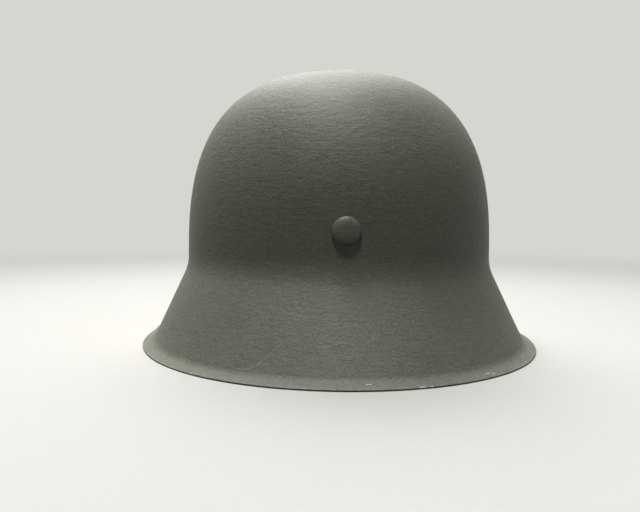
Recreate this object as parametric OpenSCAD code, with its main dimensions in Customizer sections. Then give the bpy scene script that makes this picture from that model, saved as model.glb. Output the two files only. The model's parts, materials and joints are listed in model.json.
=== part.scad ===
// Steel helmet with a flared, unrolled rim, a riveted band liner of leather fingers, and a chin strap.
// +X is the wearer's right, +Y is forwards and +Z is up. The rim stands on z = 0.

/* [Shell] */
// Length of the dome at the waist, front to back, outside
dome_length = 224; // [204:1:244]
// Width of the dome at the waist, outside
dome_width = 188; // [172:1:204]
// Height of the crown above the rim, outside
shell_height = 165; // [156:1:176]
// Thickness of the steel sheet
wall = 1.2; // [0.8:0.1:1.6]
// How much the plan is wider at the nape than at the brow, as a share of the width
egg = 0.03; // [0.01:0.01:0.06]
// Fullness of the dome: 2 is an ellipse, and more is squarer
crown_fullness = 2.65; // [2.4:0.05:2.8]
// Height of the waist at the brow
waist_front = 62; // [58:1:68]
// Height of the waist at the sides
waist_side = 52.5; // [49:0.5:56]
// Height of the waist at the nape
waist_rear = 57; // [54:1:60]
// Radius of the bend at the waist
waist_radius = 26; // [20:1:30]
// Lean of the visor from the vertical, in degrees
visor_angle = 45; // [38:1:50]
// Lean of the side skirt from the vertical, in degrees
side_angle = 24.5; // [21:0.5:28]
// Lean of the neck guard from the vertical, in degrees
nape_angle = 35; // [28:1:40]
// Height of the visor's edge above the skirt's
visor_rise = 26; // [18:1:32]
// Where the edge starts to drop behind the visor, in degrees from the brow
ear_front = 56; // [50:1:62]
// Where the edge has come down behind the ear, in degrees from the brow
ear_back = 90; // [84:1:98]
// Radius of the bend between the skirt and the lip
lip_radius = 6.4; // [4:0.2:8]
// Lean of the lip from the vertical, in degrees
lip_angle = 68; // [55:1:76]
// Width of the flat part of the lip
lip_flat = 4.8; // [2:0.2:6]
// Depth to which the edge is worn flat where the rim stands
rest_wear = 0.25; // [0.15:0.05:0.4]

/* [Vents] */
// Height of the vents
vent_z = 96; // [90:1:104]
// Radius of a vent's hole
vent_hole_r = 2.5; // [2:0.1:3]
// Radius of the raised ring round a vent
vent_ring_r = 5.2; // [4.6:0.1:6]
// Height of that ring above the shell
vent_ring_h = 1.3; // [0.9:0.1:1.6]

/* [Split rivets] */
// Height of the three liner rivets
rivet_z = 70; // [69:0.5:73]
// Diameter of a rivet's head
rivet_head_d = 14.5; // [12:0.5:16]
// Height of a rivet's head
rivet_head_h = 3.1; // [2.4:0.1:3.6]
// Length of each bent prong, from the rivet's middle
prong_length = 9.5; // [7:0.5:10]
// Width of a prong
prong_width = 4; // [3.6:0.1:4]
// Thickness of a prong
prong_thick = 1.4; // [1:0.1:1.5]

/* [Liner bands] */
// Thickness of the outer band
outer_band_thick = 1; // [0.8:0.1:1.2]
// Height of the outer band
outer_band_h = 22; // [20:1:23]
// Thickness of the inner band
inner_band_thick = 0.8; // [0.6:0.1:1]
// Height of the inner band
inner_band_h = 19; // [18:1:20]
// Space between the two bands
spring_gap = 4.6; // [4.2:0.1:5]
// Thickness of a bow spring
spring_thick = 0.6; // [0.4:0.1:0.7]
// Height of a bow spring
spring_h = 9; // [7:0.5:10]
// Thickness of the felt
felt_thick = 2.6; // [2:0.1:3]

/* [Leather liner] */
// Thickness of the liner leather
leather_thick = 1.2; // [1:0.1:1.4]
// Height at which the fingers begin
finger_root_z = 82; // [79:1:86]
// Rise of the fingers from there to their pole
finger_rise = 62; // [56:1:66]
// How far the fingers reach towards that pole, in degrees
finger_reach = 72; // [68:1:75]
// Radius of the air holes in the fingers
air_hole_r = 2.2; // [1.6:0.1:2.6]
// Radius of the lace holes at the finger tips
lace_hole_r = 1.6; // [1.2:0.1:2]

/* [Bales and chin strap] */
// Diameter of the bale wire
bale_wire_d = 3; // [2.6:0.1:3.2]
// Width of a bale between the middles of its arms
bale_w = 24; // [22:0.5:26]
// Height of a bale between the middles of its bars
bale_h = 19; // [17:0.5:21]
// Width of the chin strap
strap_w = 15; // [13:0.5:16]
// Thickness of the chin strap
strap_thick = 1.8; // [1.5:0.1:2]
// Diameter of a strap stud's heads
stud_d = 9; // [8:0.5:10]
// Width of the buckle frame between the middles of its sides
buckle_w = 21; // [20:0.5:23]
// Length of the buckle frame between the middles of its bars
buckle_l = 17; // [15:0.5:19]
// Diameter of the buckle wire
buckle_wire_d = 2.8; // [2.4:0.1:3]

/* [Hidden] */
$fn = 48;

// Steps round the plan: the shell and outer band, and the pieces that nest in the leather
shell_steps = 96;
liner_steps = 48;
fingers = 8;

paint = [0.30, 0.31, 0.29];
zinc = [0.66, 0.67, 0.66];
leather_tan = [0.66, 0.48, 0.30];
strap_black = [0.12, 0.10, 0.09];
felt_grey = [0.45, 0.44, 0.40];
steel = [0.45, 0.45, 0.44];

// Small gaps between pieces that lie against each other
touch = 0.1;
band_play = 0.3;
soft_gap = 0.3;
hole_play = 0.1;
band_hole_play = 0.25;
hinge_play = 0.08;

// How far a cut runs through what it cuts
thin_cut = 6;
wall_cut = 12;
band_cut = 30;

// Plan of the dome at the waist; t is 0 at the brow, 90 at the wearer's right, 180 at the nape
dome_a = dome_length / 2;
dome_b = dome_width / 2;

function oval(t) = [dome_b * sin(t) * (1 - egg * cos(t)), dome_a * cos(t)];
function oval_slope(t) = [dome_b * (cos(t) - egg * cos(2 * t)), -dome_a * sin(t)];
function oval_normal(t) = let (d = oval_slope(t)) [-d.y, d.x] / norm(d);
// The widest point, where the outline faces straight sideways
side_t = acos((1 - sqrt(1 + 8 * egg * egg)) / (4 * egg));

function smooth(x) = let (c = min(1, max(0, x))) c * c * (3 - 2 * c);
function unit(v) = v / norm(v);
// A value that runs smoothly from brow to side to nape
function round_plan(t, front, side, rear) =
  side * pow(sin(t), 2) + (cos(t) > 0 ? front : rear) * pow(cos(t), 2);

// Profile of the shell, from the crown down to the lip's edge
edge_rest = wall * sin(lip_angle) - rest_wear;
function waist_z(t) = round_plan(t, waist_front, waist_side, waist_rear);
function skirt_angle(t) = round_plan(t, visor_angle, side_angle, nape_angle);
function edge_z(t) = edge_rest + visor_rise * smooth((ear_back - acos(cos(t))) / (ear_back - ear_front));
function skirt_length(t) =
  let (lean = skirt_angle(t))
  (waist_z(t) - edge_z(t) - waist_radius * sin(lean) - lip_radius * (sin(lip_angle) - sin(lean))
   - lip_flat * cos(lip_angle)) / cos(lean);
// Distance out from the waist and height, by stage: 1-2 waist bend, 2-3 skirt, 3-4 lip bend, 4-5 lip
function skirt_profile(t, u) =
  let (
    lean = skirt_angle(t),
    turn = lean * min(1, u - 1),
    run = skirt_length(t) * min(1, max(0, u - 2)),
    curl = lean + (lip_angle - lean) * min(1, max(0, u - 3)),
    flat = lip_flat * max(0, u - 4)
  )
  [
    waist_radius * (1 - cos(turn)) + run * sin(lean) + lip_radius * (cos(lean) - cos(curl))
      + flat * sin(lip_angle),
    waist_z(t) - waist_radius * sin(turn) - run * cos(lean) - lip_radius * (sin(curl) - sin(lean))
      - flat * cos(lip_angle)
  ];

// The plan's centre, set so that the rim's front and rear edges are equally far from the origin
centre_y = (skirt_profile(180, 5)[0] - skirt_profile(0, 5)[0]) / 2;
function in_plan(p, z) = [p.x, p.y + centre_y, z];
function offset_oval(t, out) = oval(t) + oval_normal(t) * out;

function dome_point(t, u) =
  let (rise = 90 * (1 - u), power = 2 / crown_fullness, z = waist_z(t))
  in_plan(oval(t) * pow(cos(rise), power), z + (shell_height - z) * pow(sin(rise), power));
function skirt_point(t, u) = let (p = skirt_profile(t, u)) in_plan(offset_oval(t, p[0]), p[1]);
function sheet_point(t, u) = u <= 1 ? dome_point(t, max(0, u)) : skirt_point(t, u);
// The sheet's outward normal, from a short step each way
function sheet_normal(t, u, step = 0.001) =
  let (
    along = sheet_point(t + 1, u) - sheet_point(t - 1, u),
    down = sheet_point(t, u + step) - sheet_point(t, u - step)
  )
  unit(cross(along, down));

// How far the dome's outside has drawn in from the waist outline at height z, and how far it leans there
function dome_rise(t, z) = max(0, (z - waist_z(t)) / (shell_height - waist_z(t)));
function dome_share(t, z) = pow(1 - pow(dome_rise(t, z), crown_fullness), 1 / crown_fullness);
function drawn_in(t, z) = (1 - dome_share(t, z)) * (oval(t) * oval_normal(t));
function dome_lean(t, z) =
  atan(pow(dome_rise(t, z) / dome_share(t, z), crown_fullness - 1)
    * (oval(t) * oval_normal(t)) / (shell_height - waist_z(t)));

// Puts children at the waist outline, with their +X outwards
module at_oval(t, z) {
  n = oval_normal(t);
  translate(in_plan(oval(t), z))
    rotate([0, 0, atan2(n.y, n.x)])
      children();
}

// Turns a shape built along +Z so that it points outwards at the local origin
module pointing_out() {
  rotate([0, 90, 0])
    children();
}

// Shell
dome_rows = 14;
function steps(from, to, count) = [for (i = [1 : count]) from + (to - from) * i / count];
shell_rows = concat(steps(0, 1, dome_rows), steps(1, 2, 3), steps(2, 3, 2), steps(3, 4, 3), [5]);

function quad(a, b, c, d, flip = false) = flip ? [[a, c, b], [a, d, c]] : [[a, b, c], [a, c, d]];

module shell_sheet() {
  n = shell_steps;
  rows = len(shell_rows);
  last = rows - 1;
  side = 1 + rows * n;
  plan = all_round(n);
  outside = concat(
    [[0, centre_y, shell_height]],
    [for (u = shell_rows) for (t = plan) sheet_point(t, u)]
  );
  inside = concat(
    [[0, centre_y, shell_height - wall]],
    [for (u = shell_rows) for (t = plan) sheet_point(t, u) - wall * sheet_normal(t, u)]
  );
  function at(s, j, i) = s * side + 1 + j * n + (i % n);
  faces = concat(
    [for (i = [0 : n - 1]) [0, at(0, 0, i), at(0, 0, i + 1)]],
    [for (i = [0 : n - 1]) [side, at(1, 0, i + 1), at(1, 0, i)]],
    [
      for (s = [0, 1]) for (j = [0 : rows - 2]) for (i = [0 : n - 1])
        each quad(at(s, j, i + 1), at(s, j, i), at(s, j + 1, i), at(s, j + 1, i + 1), s == 1)
    ],
    [
      for (i = [0 : n - 1])
        each quad(at(0, last, i + 1), at(0, last, i), at(1, last, i), at(1, last, i + 1))
    ]
  );
  polyhedron(concat(outside, inside), faces, convexity = 6);
}

// Turns of the vents and of the side rivets from the brow
vent_t = 84.375;
rivet_side_t = 56.25;
rivet_turns = [180, rivet_side_t, -rivet_side_t];
rivet_hole_r = norm([prong_width / 2, prong_thick + touch]) + hole_play;

module at_vent(side) {
  at_oval(side * vent_t, vent_z)
    translate([-drawn_in(vent_t, vent_z), 0, 0])
      rotate([0, -dome_lean(vent_t, vent_z), 0])
        pointing_out()
          children();
}

// The ring pressed up round a vent: rounded on top, and buried in the sheet below
module vent_ring() {
  top_r = (vent_ring_r - vent_hole_r) / 2;
  rotate_extrude()
    translate([vent_hole_r + top_r, 0])
      polygon(concat(
        [[-top_r, -wall / 2], [top_r, -wall / 2]],
        [for (a = [0 : 22.5 : 180]) [top_r * cos(a), vent_ring_h * sin(a)]]
      ));
}

module shell() {
  reach = dome_length + dome_width;
  color(paint)
    difference() {
      union() {
        shell_sheet();
        for (side = [-1, 1])
          at_vent(side)
            vent_ring();
      }
      translate([-reach, -reach, -reach])
        cube([2 * reach, 2 * reach, reach]);
      for (side = [-1, 1])
        at_vent(side)
          cylinder(r = vent_hole_r, h = wall_cut, center = true);
      for (t = rivet_turns)
        at_oval(t, rivet_z)
          pointing_out()
            cylinder(r = rivet_hole_r, h = wall_cut, center = true);
    }
}

// The liner hangs in the dome at the height of the rivets. Each band is a straight chord of the dome,
// and insets are measured inwards from the chord of its outside.
band_low = rivet_z - outer_band_h / 2;
band_high = rivet_z + outer_band_h / 2;
function band_lean(t) = atan((drawn_in(t, band_high) - drawn_in(t, band_low)) / outer_band_h);
function band_in(t, z) = drawn_in(t, band_low) + (z - band_low) * tan(band_lean(t));
// Radius of the plan, and how far it bends away from a flat piece of a given half width
function plan_radius(t) = pow(norm(oval_slope(t)), 3) / (dome_a * dome_b);
function sag(t, half) = half * half / (2 * plan_radius(t));

outer_band_out = wall + band_play;
outer_band_in = outer_band_out + outer_band_thick;
inner_band_out = outer_band_in + spring_gap;
inner_band_in = inner_band_out + inner_band_thick;
inner_band_low = rivet_z - inner_band_h / 2;
felt_out = inner_band_in + soft_gap;
felt_in = felt_out + felt_thick;
leather_out = felt_in + soft_gap;
leather_in = leather_out + leather_thick;

// Puts children on the chord of the dome's outside, with their +X outwards and leaning as the bands do
module at_band(t) {
  at_oval(t, rivet_z)
    translate([-band_in(t, rivet_z), 0, 0])
      rotate([0, -band_lean(t), 0])
        children();
}

// A strip of even thickness along a path of flat points, as one outline
function turned(v) = [-v.y, v.x];
function path_side(path, i) =
  let (
    last = len(path) - 1,
    before = turned(unit(path[max(1, i)] - path[max(0, i - 1)])),
    after = turned(unit(path[min(last, i + 1)] - path[min(last - 1, i)]))
  )
  (before + after) / (1 + before * after);
function strip(path, thick) = concat(
  [for (i = [0 : len(path) - 1]) path[i] + path_side(path, i) * thick / 2],
  [for (i = [len(path) - 1 : -1 : 0]) path[i] - path_side(path, i) * thick / 2]
);
function arc(centre, r, from, to, count) =
  [for (i = [0 : count]) let (a = from + (to - from) * i / count) centre + r * [cos(a), sin(a)]];

// An outline of [inset, height] points carried round the plan through the given turns
module carried(outline, turns, closed = true) {
  size = len(outline);
  count = len(turns);
  points = [
    for (t = turns) for (p = outline)
      in_plan(offset_oval(t, -band_in(t, p.y) - p.x), p.y)
  ];
  function at(i, k) = (i % count) * size + k % size;
  faces = concat(
    [
      for (i = [0 : count - (closed ? 1 : 2)]) for (k = [0 : size - 1])
        each quad(at(i, k), at(i + 1, k), at(i + 1, k + 1), at(i, k + 1))
    ],
    closed ? [] : [for (k = [1 : size - 2]) each [
      [at(0, 0), at(0, k), at(0, k + 1)],
      [at(count - 1, 0), at(count - 1, k + 1), at(count - 1, k)]
    ]]
  );
  polyhedron(points, faces, convexity = 6);
}
function turns(from, to, count) = [for (i = [0 : count]) from + (to - from) * i / count];
function all_round(count) = [for (i = [0 : count - 1]) 360 * i / count];
function plate(out, in, low, high) = [[out, low], [out, high], [in, high], [in, low]];

// Split rivets
washer_w = 12;
washer_thick = 0.8;
function washer_out(t) = outer_band_in + sag(t, washer_w / 2) + touch;
function head_seat(t) = band_in(t, rivet_z) - drawn_in(t, rivet_z) + touch;

// A low dome, a little steeper at its rim than an ellipse
head_rim = 0.5;
head_fullness = 0.85;
module rivet_head() {
  rotate_extrude()
    polygon(concat(
      [[0, 0]],
      [
        for (a = [0 : 7.5 : 90])
          [rivet_head_d / 2 * pow(cos(a), head_fullness), head_rim + (rivet_head_h - head_rim) * sin(a)]
      ],
      [[0, rivet_head_h]]
    ));
}

module split_rivet(t) {
  bend = prong_thick;
  far = -washer_out(t) - washer_thick - touch - prong_thick / 2;
  near = head_seat(t) + head_rim;
  run = prong_thick / 2 + touch;
  path = concat(
    [[near, run]],
    arc([far + bend, run + bend], bend, 270, 180, 4),
    [[far, prong_length]]
  );
  color(paint)
    at_band(t)
      union() {
        translate([head_seat(t), 0, 0])
          pointing_out()
            rivet_head();
        for (side = [0, 1])
          mirror([0, 0, side])
            translate([0, prong_width / 2, 0])
              rotate([90, 0, 0])
                linear_extrude(prong_width)
                  polygon(strip(path, prong_thick));
      }
}

module washer(t) {
  color(zinc)
    at_band(t)
      translate([-washer_out(t), 0, 0])
        rotate([0, -90, 0])
          difference() {
            translate([-washer_w / 2, -washer_w / 2, 0])
              cube([washer_w, washer_w, washer_thick]);
            cylinder(r = rivet_hole_r, h = thin_cut, center = true);
          }
}

// Liner bands
module rivet_holes() {
  for (t = rivet_turns)
    at_band(t)
      pointing_out()
        cylinder(r = rivet_hole_r, h = wall_cut, center = true);
}

module outer_band() {
  color(zinc)
    difference() {
      carried(plate(outer_band_out, outer_band_in, band_low, band_high), all_round(shell_steps));
      rivet_holes();
      for (t = spring_turns)
        at_band(t)
          pointing_out()
            cylinder(r = small_rivet_r + band_hole_play, h = wall_cut, center = true);
      for (side = [-1, 1])
        at_band(side * side_t)
          bracket_holes(band_hole_play);
    }
}

module inner_band() {
  color(zinc)
    difference() {
      carried(
        plate(inner_band_out, inner_band_in, inner_band_low, inner_band_low + inner_band_h),
        all_round(liner_steps)
      );
      for (t = spring_turns)
        for (end = [-1, 1])
          at_band(t + end * spring_half_turn)
            pointing_out()
              cylinder(r = small_rivet_r + band_hole_play, h = band_cut, center = true);
    }
}

// Bow springs between the bands: riveted to the outer band in the middle and to the inner at both ends.
// Their places and reach are turns round the plan, in degrees.
spring_turns = [-26.25, 26.25, 135, -135];
spring_half_turn = 12;
spring_foot_turn = 3;
spring_steps = 24;
small_rivet_r = 1.1;
small_head_r = 2;
small_head_h = 0.7;
spring_middle_in = outer_band_in + band_play + spring_thick / 2;
spring_end_in = inner_band_out - band_play - spring_thick / 2;

module bow_spring(t) {
  reach = spring_half_turn + spring_foot_turn;
  path = [
    for (s = turns(-reach, reach, spring_steps))
      let (
        bow = smooth((abs(s) - spring_foot_turn) / (spring_half_turn - 2 * spring_foot_turn)),
        inset = spring_middle_in + (spring_end_in - spring_middle_in) * bow,
        p = offset_oval(t + s, -band_in(t + s, rivet_z) - inset)
      )
      [p.x, p.y + centre_y]
  ];
  color(steel)
    difference() {
      translate([0, 0, rivet_z - spring_h / 2])
        linear_extrude(spring_h)
          polygon(strip(path, spring_thick));
      for (s = [-spring_half_turn, 0, spring_half_turn])
        at_band(t + s)
          pointing_out()
            cylinder(r = small_rivet_r + hole_play, h = band_cut, center = true);
    }
}

// A small rivet from one inset to another, with its head past the second
module small_rivet(from, to) {
  way = to > from ? -1 : 1;
  translate([-from, 0, 0])
    rotate([0, way * 90, 0])
      union() {
        cylinder(r = small_rivet_r, h = abs(to - from) + small_head_h / 2);
        translate([0, 0, abs(to - from)])
          cylinder(r = small_head_r, h = small_head_h);
      }
}

module spring_rivets() {
  color(zinc)
    for (t = spring_turns) {
      at_band(t)
        small_rivet(outer_band_out, spring_middle_in + spring_thick / 2 + band_play);
      for (end = [-1, 1])
        at_band(t + end * spring_half_turn)
          small_rivet(inner_band_in, spring_end_in - spring_thick / 2 - band_play);
    }
}

// Felt between the inner band and the leather
felt_half_turn = 52.5;
felt_edge = 1;
module felt(middle) {
  color(felt_grey)
    carried(
      plate(felt_out, felt_in, inner_band_low + felt_edge, inner_band_low + inner_band_h - felt_edge),
      turns(middle - felt_half_turn, middle + felt_half_turn, liner_steps * felt_half_turn / 180),
      closed = false
    );
}

// Leather: folded up round the lower edge of the inner band, and cut into fingers above it
hem_high = rivet_z - spring_h / 2 - 2 * soft_gap;
leather_low = inner_band_low - soft_gap - leather_thick;
hem_round = soft_gap + leather_thick / 2;
hem_in = inner_band_out - hem_round;
finger_cells = liner_steps / fingers;
// From the hem's edge, round the band's lower corner and up the inside to the finger roots
function leather_path() =
  let (low = leather_low + leather_thick / 2, deep = (leather_out + leather_in) / 2)
  concat(
    [[hem_in, hem_high]],
    arc([inner_band_out, inner_band_low], hem_round, 180, 270, 2),
    [[deep - hem_round, low], [deep, low + hem_round], [deep, finger_root_z]]
  );
// A finger's half width as a share of its root, from the root at 0 to the tip at 1
finger_slit = 0.14;
slit_depth = 0.08;
tip_fall = 0.85;
tip_roundness = 8;
function finger_share(w) =
  (1 - finger_slit * smooth(w / slit_depth)) * sqrt(1 - tip_fall * pow(w, tip_roundness));
function finger_point(t, w, depth) =
  let (
    root = offset_oval(t, -band_in(t, finger_root_z) - leather_out),
    p = root * cos(w * finger_reach)
  )
  in_plan(p, finger_root_z + finger_rise * sin(w * finger_reach)) - depth * finger_normal(t, w);
function finger_normal(t, w) =
  let (a = w * finger_reach, n = oval_normal(t), half = oval(t) * n - leather_out)
  unit([n.x * cos(a) * finger_rise, n.y * cos(a) * finger_rise, half * sin(a)]);
finger_rows = [0, 0.05, 0.16, 0.34, 0.52, 0.7, 0.86, 0.95, 1];

module leather_body() {
  outline = strip(leather_path(), leather_thick);
  size = len(outline);
  ring = [
    for (t = all_round(liner_steps)) for (p = outline)
      in_plan(offset_oval(t, -band_in(t, p.y) - p.x), p.y)
  ];
  rows = len(finger_rows) - 1;
  across = finger_cells + 1;
  edge = finger_cells;
  tips = [
    for (f = [0 : fingers - 1]) for (j = [1 : rows]) for (c = [0 : finger_cells]) for (side = [0, 1])
      let (
        middle = 360 * (f + 0.5) / fingers,
        t = middle + 360 / fingers * (c / finger_cells - 0.5) * finger_share(finger_rows[j])
      )
      finger_point(t, finger_rows[j], side * leather_thick)
  ];
  // The outline's two corners at the finger roots, which are the end of the leather's path
  root_out = len(leather_path()) - 1;
  root_in = root_out + 1;
  function on_ring(i, k) = (i % liner_steps) * size + k % size;
  function outer(f, j, c) =
    j == 0 ? on_ring(f * finger_cells + c, root_out)
      : len(ring) + ((f * rows + j - 1) * across + c) * 2;
  function inner(f, j, c) = j == 0 ? on_ring(f * finger_cells + c, root_in) : outer(f, j, c) + 1;
  faces = concat(
    [
      for (i = [0 : liner_steps - 1]) for (k = [0 : size - 1]) if (k != root_out)
        each quad(on_ring(i, k), on_ring(i + 1, k), on_ring(i + 1, k + 1), on_ring(i, k + 1))
    ],
    [
      for (f = [0 : fingers - 1]) for (j = [0 : rows - 1]) for (c = [0 : finger_cells - 1])
        each concat(
          quad(outer(f, j, c), outer(f, j, c + 1), outer(f, j + 1, c + 1), outer(f, j + 1, c)),
          quad(inner(f, j, c), inner(f, j + 1, c), inner(f, j + 1, c + 1), inner(f, j, c + 1))
        )
    ],
    [
      for (f = [0 : fingers - 1]) for (j = [0 : rows - 1])
        each concat(
          quad(outer(f, j, 0), outer(f, j + 1, 0), inner(f, j + 1, 0), inner(f, j, 0)),
          quad(outer(f, j, edge), inner(f, j, edge), inner(f, j + 1, edge), outer(f, j + 1, edge))
        )
    ],
    [
      for (f = [0 : fingers - 1]) for (c = [0 : finger_cells - 1])
        each quad(outer(f, rows, c), outer(f, rows, c + 1), inner(f, rows, c + 1), inner(f, rows, c))
    ]
  );
  polyhedron(concat(ring, tips), faces, convexity = 8);
}

module at_finger(t, w) {
  n = finger_normal(t, w);
  translate(finger_point(t, w, leather_thick / 2))
    rotate([0, acos(n.z), atan2(n.y, n.x)])
      children();
}

// Places of the air holes, as shares of a finger's half width and of its length
air_holes = [[-0.42, 0.16], [0.42, 0.16], [0, 0.3], [-0.42, 0.44], [0.42, 0.44]];
lace_hole_at = 0.93;

module leather_liner() {
  color(leather_tan)
    difference() {
      leather_body();
      for (f = [0 : fingers - 1]) {
        middle = 360 * (f + 0.5) / fingers;
        for (h = air_holes)
          at_finger(middle + h.x * 180 / fingers, h.y)
            cylinder(r = air_hole_r, h = thin_cut, center = true);
        at_finger(middle, lace_hole_at)
          cylinder(r = lace_hole_r, h = thin_cut, center = true);
      }
    }
}

// U-shaped clips that grip the folded hem on the inner band
clip_w = 6;
clip_thick = 0.6;
clip_round = 1;
module liner_clips() {
  near = hem_in - leather_thick / 2 - band_play - clip_thick / 2;
  far = leather_in + band_play + clip_thick / 2;
  half = (far - near) / 2;
  foot = half - clip_round;
  leg = hem_high - leather_low;
  path = [[half, leg], [half, clip_round], [foot, 0], [-foot, 0], [-half, clip_round], [-half, leg]];
  color(zinc)
    for (i = [0 : fingers - 1]) {
      t = 360 * (i + 0.5) / fingers;
      low = leather_low - band_play - clip_thick / 2;
      at_oval(t, low)
        translate([-band_in(t, low) - (near + far) / 2, clip_w / 2, 0])
          rotate([0, -band_lean(t), 0])
            rotate([90, 0, 0])
              linear_extrude(clip_w)
                polygon(strip(path, clip_thick));
    }
}

// Bale brackets
wire_r = bale_wire_d / 2;
bracket_w = 14;
bracket_thick = 0.9;
bracket_rise = 7;
bracket_rivet_y = 4;
bracket_rivet_r = 1.3;
bracket_head_r = 2.4;
bracket_head_h = 0.8;
knuckle_below = 0.8;
bracket_out = outer_band_in + sag(side_t, bracket_w / 2) + touch;
knuckle_r = wire_r + hinge_play + bracket_thick;
hinge_in = bracket_out + knuckle_r;
hinge_drop = rivet_z - leather_low + knuckle_below + knuckle_r;
// Middle of the bale's top bar, for the wearer's right
side_lean = band_lean(side_t);
hinge_x = oval(side_t).x - band_in(side_t, rivet_z) - hinge_in * cos(side_lean)
  + hinge_drop * sin(side_lean);
hinge_y = oval(side_t).y + centre_y;
hinge_z = rivet_z - hinge_in * sin(side_lean) - hinge_drop * cos(side_lean);

module bracket_holes(play) {
  for (s = [-1, 1])
    translate([0, s * bracket_rivet_y, 0])
      pointing_out()
        cylinder(r = bracket_rivet_r + play, h = 2 * hinge_in, center = true);
}

module bracket(side) {
  color(zinc)
    at_band(side * side_t)
      difference() {
        union() {
          translate([-bracket_out - bracket_thick, -bracket_w / 2, -hinge_drop])
            cube([bracket_thick, bracket_w, hinge_drop + bracket_rise]);
          translate([-hinge_in, 0, -hinge_drop])
            rotate([90, 0, 0])
              cylinder(r = knuckle_r, h = bracket_w, center = true);
        }
        translate([-hinge_in, 0, -hinge_drop])
          rotate([90, 0, 0])
            cylinder(r = wire_r + hinge_play, h = 2 * bracket_w, center = true);
        bracket_holes(hole_play);
      }
}

module bracket_rivets() {
  shank = bracket_out + bracket_thick + touch - outer_band_out;
  color(zinc)
    for (side = [-1, 1])
      at_band(side * side_t)
        for (s = [-1, 1])
          translate([-outer_band_out, s * bracket_rivet_y, 0])
            rotate([0, -90, 0])
              union() {
                cylinder(r = bracket_rivet_r, h = shank + bracket_head_h / 2);
                translate([0, 0, shank])
                  cylinder(r = bracket_head_r, h = bracket_head_h);
              }
}

// A closed loop of round wire in the Y-Z plane, hung by the middle of its top bar
module wire_loop(width, height, r, bend) {
  straight_w = width - 2 * bend;
  straight_h = height - 2 * bend;
  translate([0, 0, -height / 2])
    union() {
      for (s = [-1, 1]) {
        translate([0, 0, s * height / 2])
          rotate([90, 0, 0])
            cylinder(r = r, h = straight_w, center = true);
        translate([0, s * width / 2, 0])
          cylinder(r = r, h = straight_h, center = true);
      }
      for (turn = [0 : 3]) {
        corner = turn % 2 == 0 ? [straight_w, straight_h] : [straight_h, straight_w];
        rotate([turn * 90, 0, 0])
          translate([0, corner.x / 2, corner.y / 2])
            rotate([0, -90, 0])
              rotate_extrude(angle = 90)
                translate([bend, 0])
                  circle(r = r);
      }
    }
}

bale_bend = 4;
module bale(side) {
  color(steel)
    translate([side * hinge_x, hinge_y, hinge_z])
      wire_loop(bale_w, bale_h, wire_r, bale_bend);
}

// Chin strap, unbuckled: each half hangs from its bale and lies on the ground, seen as [x, z] points
strap_mid = strap_thick / 2;
bar = [hinge_x, hinge_z - bale_h];
loop_r = wire_r + soft_gap + strap_mid;
layer_off = strap_mid + touch;
ground = 2 * touch + strap_mid;
layer = strap_thick + 2 * touch;
strap_bend = 7;
fold_r = 4;
pinch_drop = 8;
stud_drop = 13;
tail_drop = 20;

function slope(from, to, count) = [
  for (i = [1 : count])
    [from.x + (to.x - from.x) * i / count, from.y + (to.y - from.y) * smooth(i / count)]
];
// From the tail, round the bale's lower bar, and down to the ground
function strap_hang() = concat(
  [[bar.x - layer_off, bar.y - tail_drop], [bar.x - layer_off, bar.y - pinch_drop]],
  arc(bar, loop_r, 195, -15, 10),
  [[bar.x + layer_off, bar.y - pinch_drop]],
  arc([bar.x + layer_off - strap_bend, ground + strap_bend], strap_bend, 0, -90, 6)
);
left_fold = 6;
right_fold = 68;
long_end = 24;
settle = 14;
function long_path() = concat(
  strap_hang(),
  arc([left_fold, ground + fold_r], fold_r, 270, 90, 8),
  slope([left_fold, ground + 2 * fold_r], [left_fold + settle, ground + layer], 6),
  arc([right_fold, ground + layer + fold_r], fold_r, -90, 90, 8),
  slope([right_fold, ground + layer + 2 * fold_r], [right_fold - settle, ground + 2 * layer], 6),
  [[long_end, ground + 2 * layer]]
);
buckle_r = buckle_wire_d / 2;
buckle_loop_r = buckle_r + soft_gap + strap_mid;
buckle_z = ground + buckle_loop_r;
buckle_x = 34;
buckle_settle = 10;
short_tail = 18;
function short_path() = concat(
  strap_hang(),
  arc([buckle_x, buckle_z], buckle_loop_r, 270, 90, 8),
  slope([buckle_x, buckle_z + buckle_loop_r], [buckle_x + buckle_settle, ground + layer], 5),
  [[buckle_x + short_tail, ground + layer]]
);

module strap_along(path) {
  translate([0, hinge_y + strap_w / 2, 0])
    rotate([90, 0, 0])
      linear_extrude(strap_w)
        polygon(strip(path, strap_thick));
}

stud_shank_r = 1.6;
stud_head_h = 1;
module stud_hole() {
  translate([bar.x, hinge_y, bar.y - stud_drop])
    pointing_out()
      cylinder(r = stud_shank_r + hole_play, h = 3 * strap_thick, center = true);
}

// The long strap's adjusting holes and pointed end
adjust_holes = 4;
adjust_first = 10;
adjust_pitch = 8;
adjust_hole_r = 1.3;
point_angle = 35;
point_cut = 22;
module long_strap() {
  top = ground + 2 * layer;
  color(strap_black)
    difference() {
      strap_along(long_path());
      stud_hole();
      for (i = [0 : adjust_holes - 1])
        translate([long_end + adjust_first + adjust_pitch * i, hinge_y, top])
          cylinder(r = adjust_hole_r, h = layer, center = true);
      for (s = [-1, 1])
        translate([long_end, hinge_y + s * strap_w / 2, top])
          rotate([0, 0, s * point_angle])
            cube([point_cut, strap_w / 2, layer], center = true);
    }
}

// The short strap has a slot for the buckle's prong where it folds round the buckle
prong_w = 3;
prong_t = 1.6;
slot_l = 10.5;
slot_w = prong_w + 2 * soft_gap;
module short_strap() {
  color(strap_black)
    mirror([1, 0, 0])
      difference() {
        strap_along(short_path());
        stud_hole();
        translate([buckle_x, hinge_y, buckle_z])
          cube([slot_l, slot_w, 2 * buckle_z + layer], center = true);
      }
}

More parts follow.
